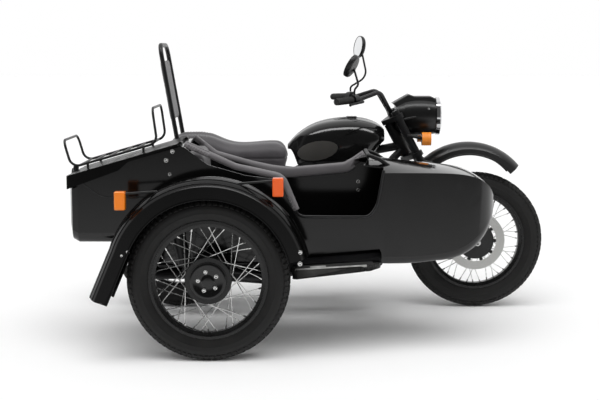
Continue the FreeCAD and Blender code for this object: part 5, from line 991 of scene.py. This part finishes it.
print("saddle")
saddleSizes = {"voxel": 0.008, "pressure": 2.5, "cap": 0.006, "smoothing": 4, "ribPitch": 0.014,
               "ribDepth": 0.0035, "ribFrom": 0.03, "ribTo": 0.165, "ribEase": 0.02, "ribsAbove": 0.35,
               "weltDepth": 0.004, "weltHeight": 0.30, "weltWidth": 0.03}
saddle = cushionOf("saddle", "saddleCushion", saddleSizes)
modify(saddle, "SUBSURF", levels=1, render_levels=1)
saddleLow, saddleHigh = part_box("saddle")
outwards = [vertex.normal.copy() for vertex in saddle.data.vertices]
for vertex, normal in zip(saddle.data.vertices, outwards):
    # ribs across the middle of the seat, and a welt round its side
    along = vertex.co.x - rearMiddle.x
    height = (vertex.co.z - saddleLow.z) / (saddleHigh.z - saddleLow.z)
    ribZone = (within(along - saddleSizes["ribFrom"], 0, saddleSizes["ribEase"])
               * within(saddleSizes["ribTo"] - along, 0, saddleSizes["ribEase"]))
    if height > saddleSizes["ribsAbove"]:
        rib = abs(math.sin(math.pi * along / saddleSizes["ribPitch"])) ** 0.5
        vertex.co.z -= ribZone * saddleSizes["ribDepth"] * rib
    welt = math.exp(-((height - saddleSizes["weltHeight"]) / saddleSizes["weltWidth"]) ** 2)
    vertex.co -= Vector((normal.x, normal.y, 0)) * welt * saddleSizes["weltDepth"]
addAll(saddle, "chassis", saddleVinyl, softAngle)
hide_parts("saddle")

print("cockpit cushions")
cockpitSizes = {"voxel": 0.008, "pressure": 4.0, "smoothing": 3, "seatCap": 0.012, "backCap": 0.010}
for name, node, cap in (("cockpitSeatCushion", "cockpit_seat", "seatCap"),
                        ("cockpitBackCushion", "cockpit_backrest", "backCap")):
    cushion = cushionOf(node, name, {**cockpitSizes, "cap": cockpitSizes[cap]})
    modify(cushion, "SUBSURF", levels=1, render_levels=1)
    addAll(cushion, "chassis", saddleVinyl, softAngle)
    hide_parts(node)

print("backrest pad")
backrestSizes = {"voxel": 0.006, "pressure": 3.0, "cap": 0.004, "smoothing": 2, "thin": 0.55, "back": 0.010}
pad = cushionOf("backrest_pad", "backrestCushion", backrestSizes)
heights = [vertex.co.z for vertex in pad.data.vertices]
depths = [vertex.co.x for vertex in pad.data.vertices]
middleHeight = sum(heights) / len(heights)
middleDepth = sum(depths) / len(depths)
lean = (sum((z - middleHeight) * (x - middleDepth) for z, x in zip(heights, depths))
        / sum((z - middleHeight) ** 2 for z in heights))
for vertex in pad.data.vertices:
    # the pad sits slim between the hoop's two legs
    plane = middleDepth + lean * (vertex.co.z - middleHeight)
    vertex.co.x = plane + (vertex.co.x - plane) * backrestSizes["thin"] - backrestSizes["back"]
addAll(pad, "chassis", saddleVinyl, softAngle)
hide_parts("backrest_pad")

print("coaming")
coamingSizes = {"voxel": 0.005, "pressure": 1.5, "cap": 0.002, "smoothing": 3, "farFrom": -0.70,
                "line": ((0.379, 0.768), (0.565, 0.745), (0.821, 0.768), (0.919, 0.826)),
                "rear": (0.379, 0.480), "front": (0.915, 0.860), "drop": 0.036, "flatten": 0.009,
                "ease": 0.008}
coaming = cushionOf("cockpit_coaming", "coamingRolls", coamingSizes)
for vertex in coaming.data.vertices:
    # the far roll hangs lower and is thicker than its bare core
    along = vertex.co.x - rearMiddle.x
    if vertex.co.y - rearMiddle.y < coamingSizes["farFrom"] or along < coamingSizes["line"][0][0]:
        continue
    for (x0, z0), (x1, z1) in zip(coamingSizes["line"], coamingSizes["line"][1:]):
        if x0 <= along <= x1:
            height = vertex.co.z - (z0 + (z1 - z0) * (along - x0) / (x1 - x0))
            fade = within(along, *coamingSizes["rear"]) * within(along, *coamingSizes["front"])
            low = within(height, coamingSizes["ease"], -coamingSizes["ease"])
            vertex.co.z -= fade * (low * coamingSizes["drop"] + (1 - low) * coamingSizes["flatten"])
            break
# the rolls' light grey is a painted highlight
addAll(coaming, "chassis", rollVinylPaintedHighlight, softAngle)
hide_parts("cockpit_coaming")

# Floor, lights and camera
print("studio")
floorSizes = {"size": 60.0, "nearEdge": -2.0, "height": -0.0005}
floorMiddle = rearMiddle.y + floorSizes["nearEdge"] + floorSizes["size"] / 2
floor = start("floor", "plane", size=floorSizes["size"], location=(0, floorMiddle, floorSizes["height"]))
floorFinish = Finish("paleFloor", IOR=1.3)
mottle = floorFinish.noise(0.6, 2)
floorFinish.feed("Base Color", floorFinish.ramp(mottle, (0.955, 0.955, 0.955, 1), (0.965, 0.965, 0.965, 1)))
floorFinish.feed("Roughness", floorFinish.spread(mottle, 0.85, 0.95))
floor.data.materials.append(floorFinish.material)

# A white sky. Gloss sees the unlit side of the studio before the outfit, and the floor's light below it
skySizes = {"front": (-0.30, 0.22), "floor": (-0.17, -0.055), "dark": 0.10, "fill": 0.42}
world = bpy.data.worlds.new("studio")
bpy.context.scene.world = world
world.use_nodes = True
sky = world.node_tree
background = sky.nodes["Background"]
background.inputs["Color"].default_value = (1, 1, 1, 1)
rays = sky.nodes.new("ShaderNodeLightPath").outputs
seen = Wire(sky, rays["Is Camera Ray"])
glossy = Wire(sky, rays["Is Glossy Ray"])
ways = sky.nodes.new("ShaderNodeSeparateXYZ")
sky.links.new(sky.nodes.new("ShaderNodeTexCoord").outputs["Generated"], ways.inputs[0])


def eased(axis, span, toLow, toHigh):
    node = sky.nodes.new("ShaderNodeMapRange")
    sky.links.new(ways.outputs[axis], node.inputs[0])
    for index, value in enumerate((*span, toLow, toHigh), 1):
        node.inputs[index].default_value = value
    return Wire(sky, node.outputs[0])


behind = eased(1, skySizes["front"], 0.0, 1.0)
below = eased(2, skySizes["floor"], 1.0, skySizes["dark"])
gloss = behind + (1.0 - behind) * below
strength = seen + glossy * gloss + (1.0 - seen - glossy) * skySizes["fill"]
sky.links.new(strength.socket, background.inputs["Strength"])


def lampAt(name, kind, place, aim, **settings):
    light = bpy.data.lights.new(name, kind)
    for key, value in settings.items():
        setattr(light, key, value)
    lamp = bpy.data.objects.new(name, light)
    bpy.context.scene.collection.objects.link(lamp)
    lamp.location = place
    lamp.rotation_euler = (Vector(aim) - Vector(place)).to_track_quat("-Z", "Y").to_euler()
    return lamp


# the strip shows in the gloss alone, the wide lamp in everything else
stripSizes = {"place": (0.0, -0.4, 3.6), "aim": (0, -0.2, 0.4), "long": 6.0, "wide": 0.45, "power": 70}
strip = lampAt("overheadStrip", "AREA", stripSizes["place"], stripSizes["aim"], shape="RECTANGLE",
               size=stripSizes["long"], size_y=stripSizes["wide"], energy=stripSizes["power"])
strip.visible_diffuse = False
wideSizes = {"place": (0, 0, 5), "aim": (0.1, 2.8, 0), "angle": 70, "power": 2.50}
wide = lampAt("wideOverhead", "SUN", wideSizes["place"], wideSizes["aim"],
              angle=math.radians(wideSizes["angle"]), energy=wideSizes["power"])
wide.visible_glossy = False

cameraSizes = {"sensor": 36, "lens": 75.05, "place": (0.612, -6.324, 1.300), "tilt": 83.19}
camera = bpy.data.cameras.new("photoView")
camera.sensor_width = cameraSizes["sensor"]
camera.lens = cameraSizes["lens"]
eye = bpy.data.objects.new("photoView", camera)
bpy.context.scene.collection.objects.link(eye)
eye.location = spot(*cameraSizes["place"])
eye.rotation_euler = (math.radians(cameraSizes["tilt"]), 0, 0)
bpy.context.scene.camera = eye
bpy.context.scene.view_settings.view_transform = "Standard"

bpy.data.objects.remove(oneBolt)
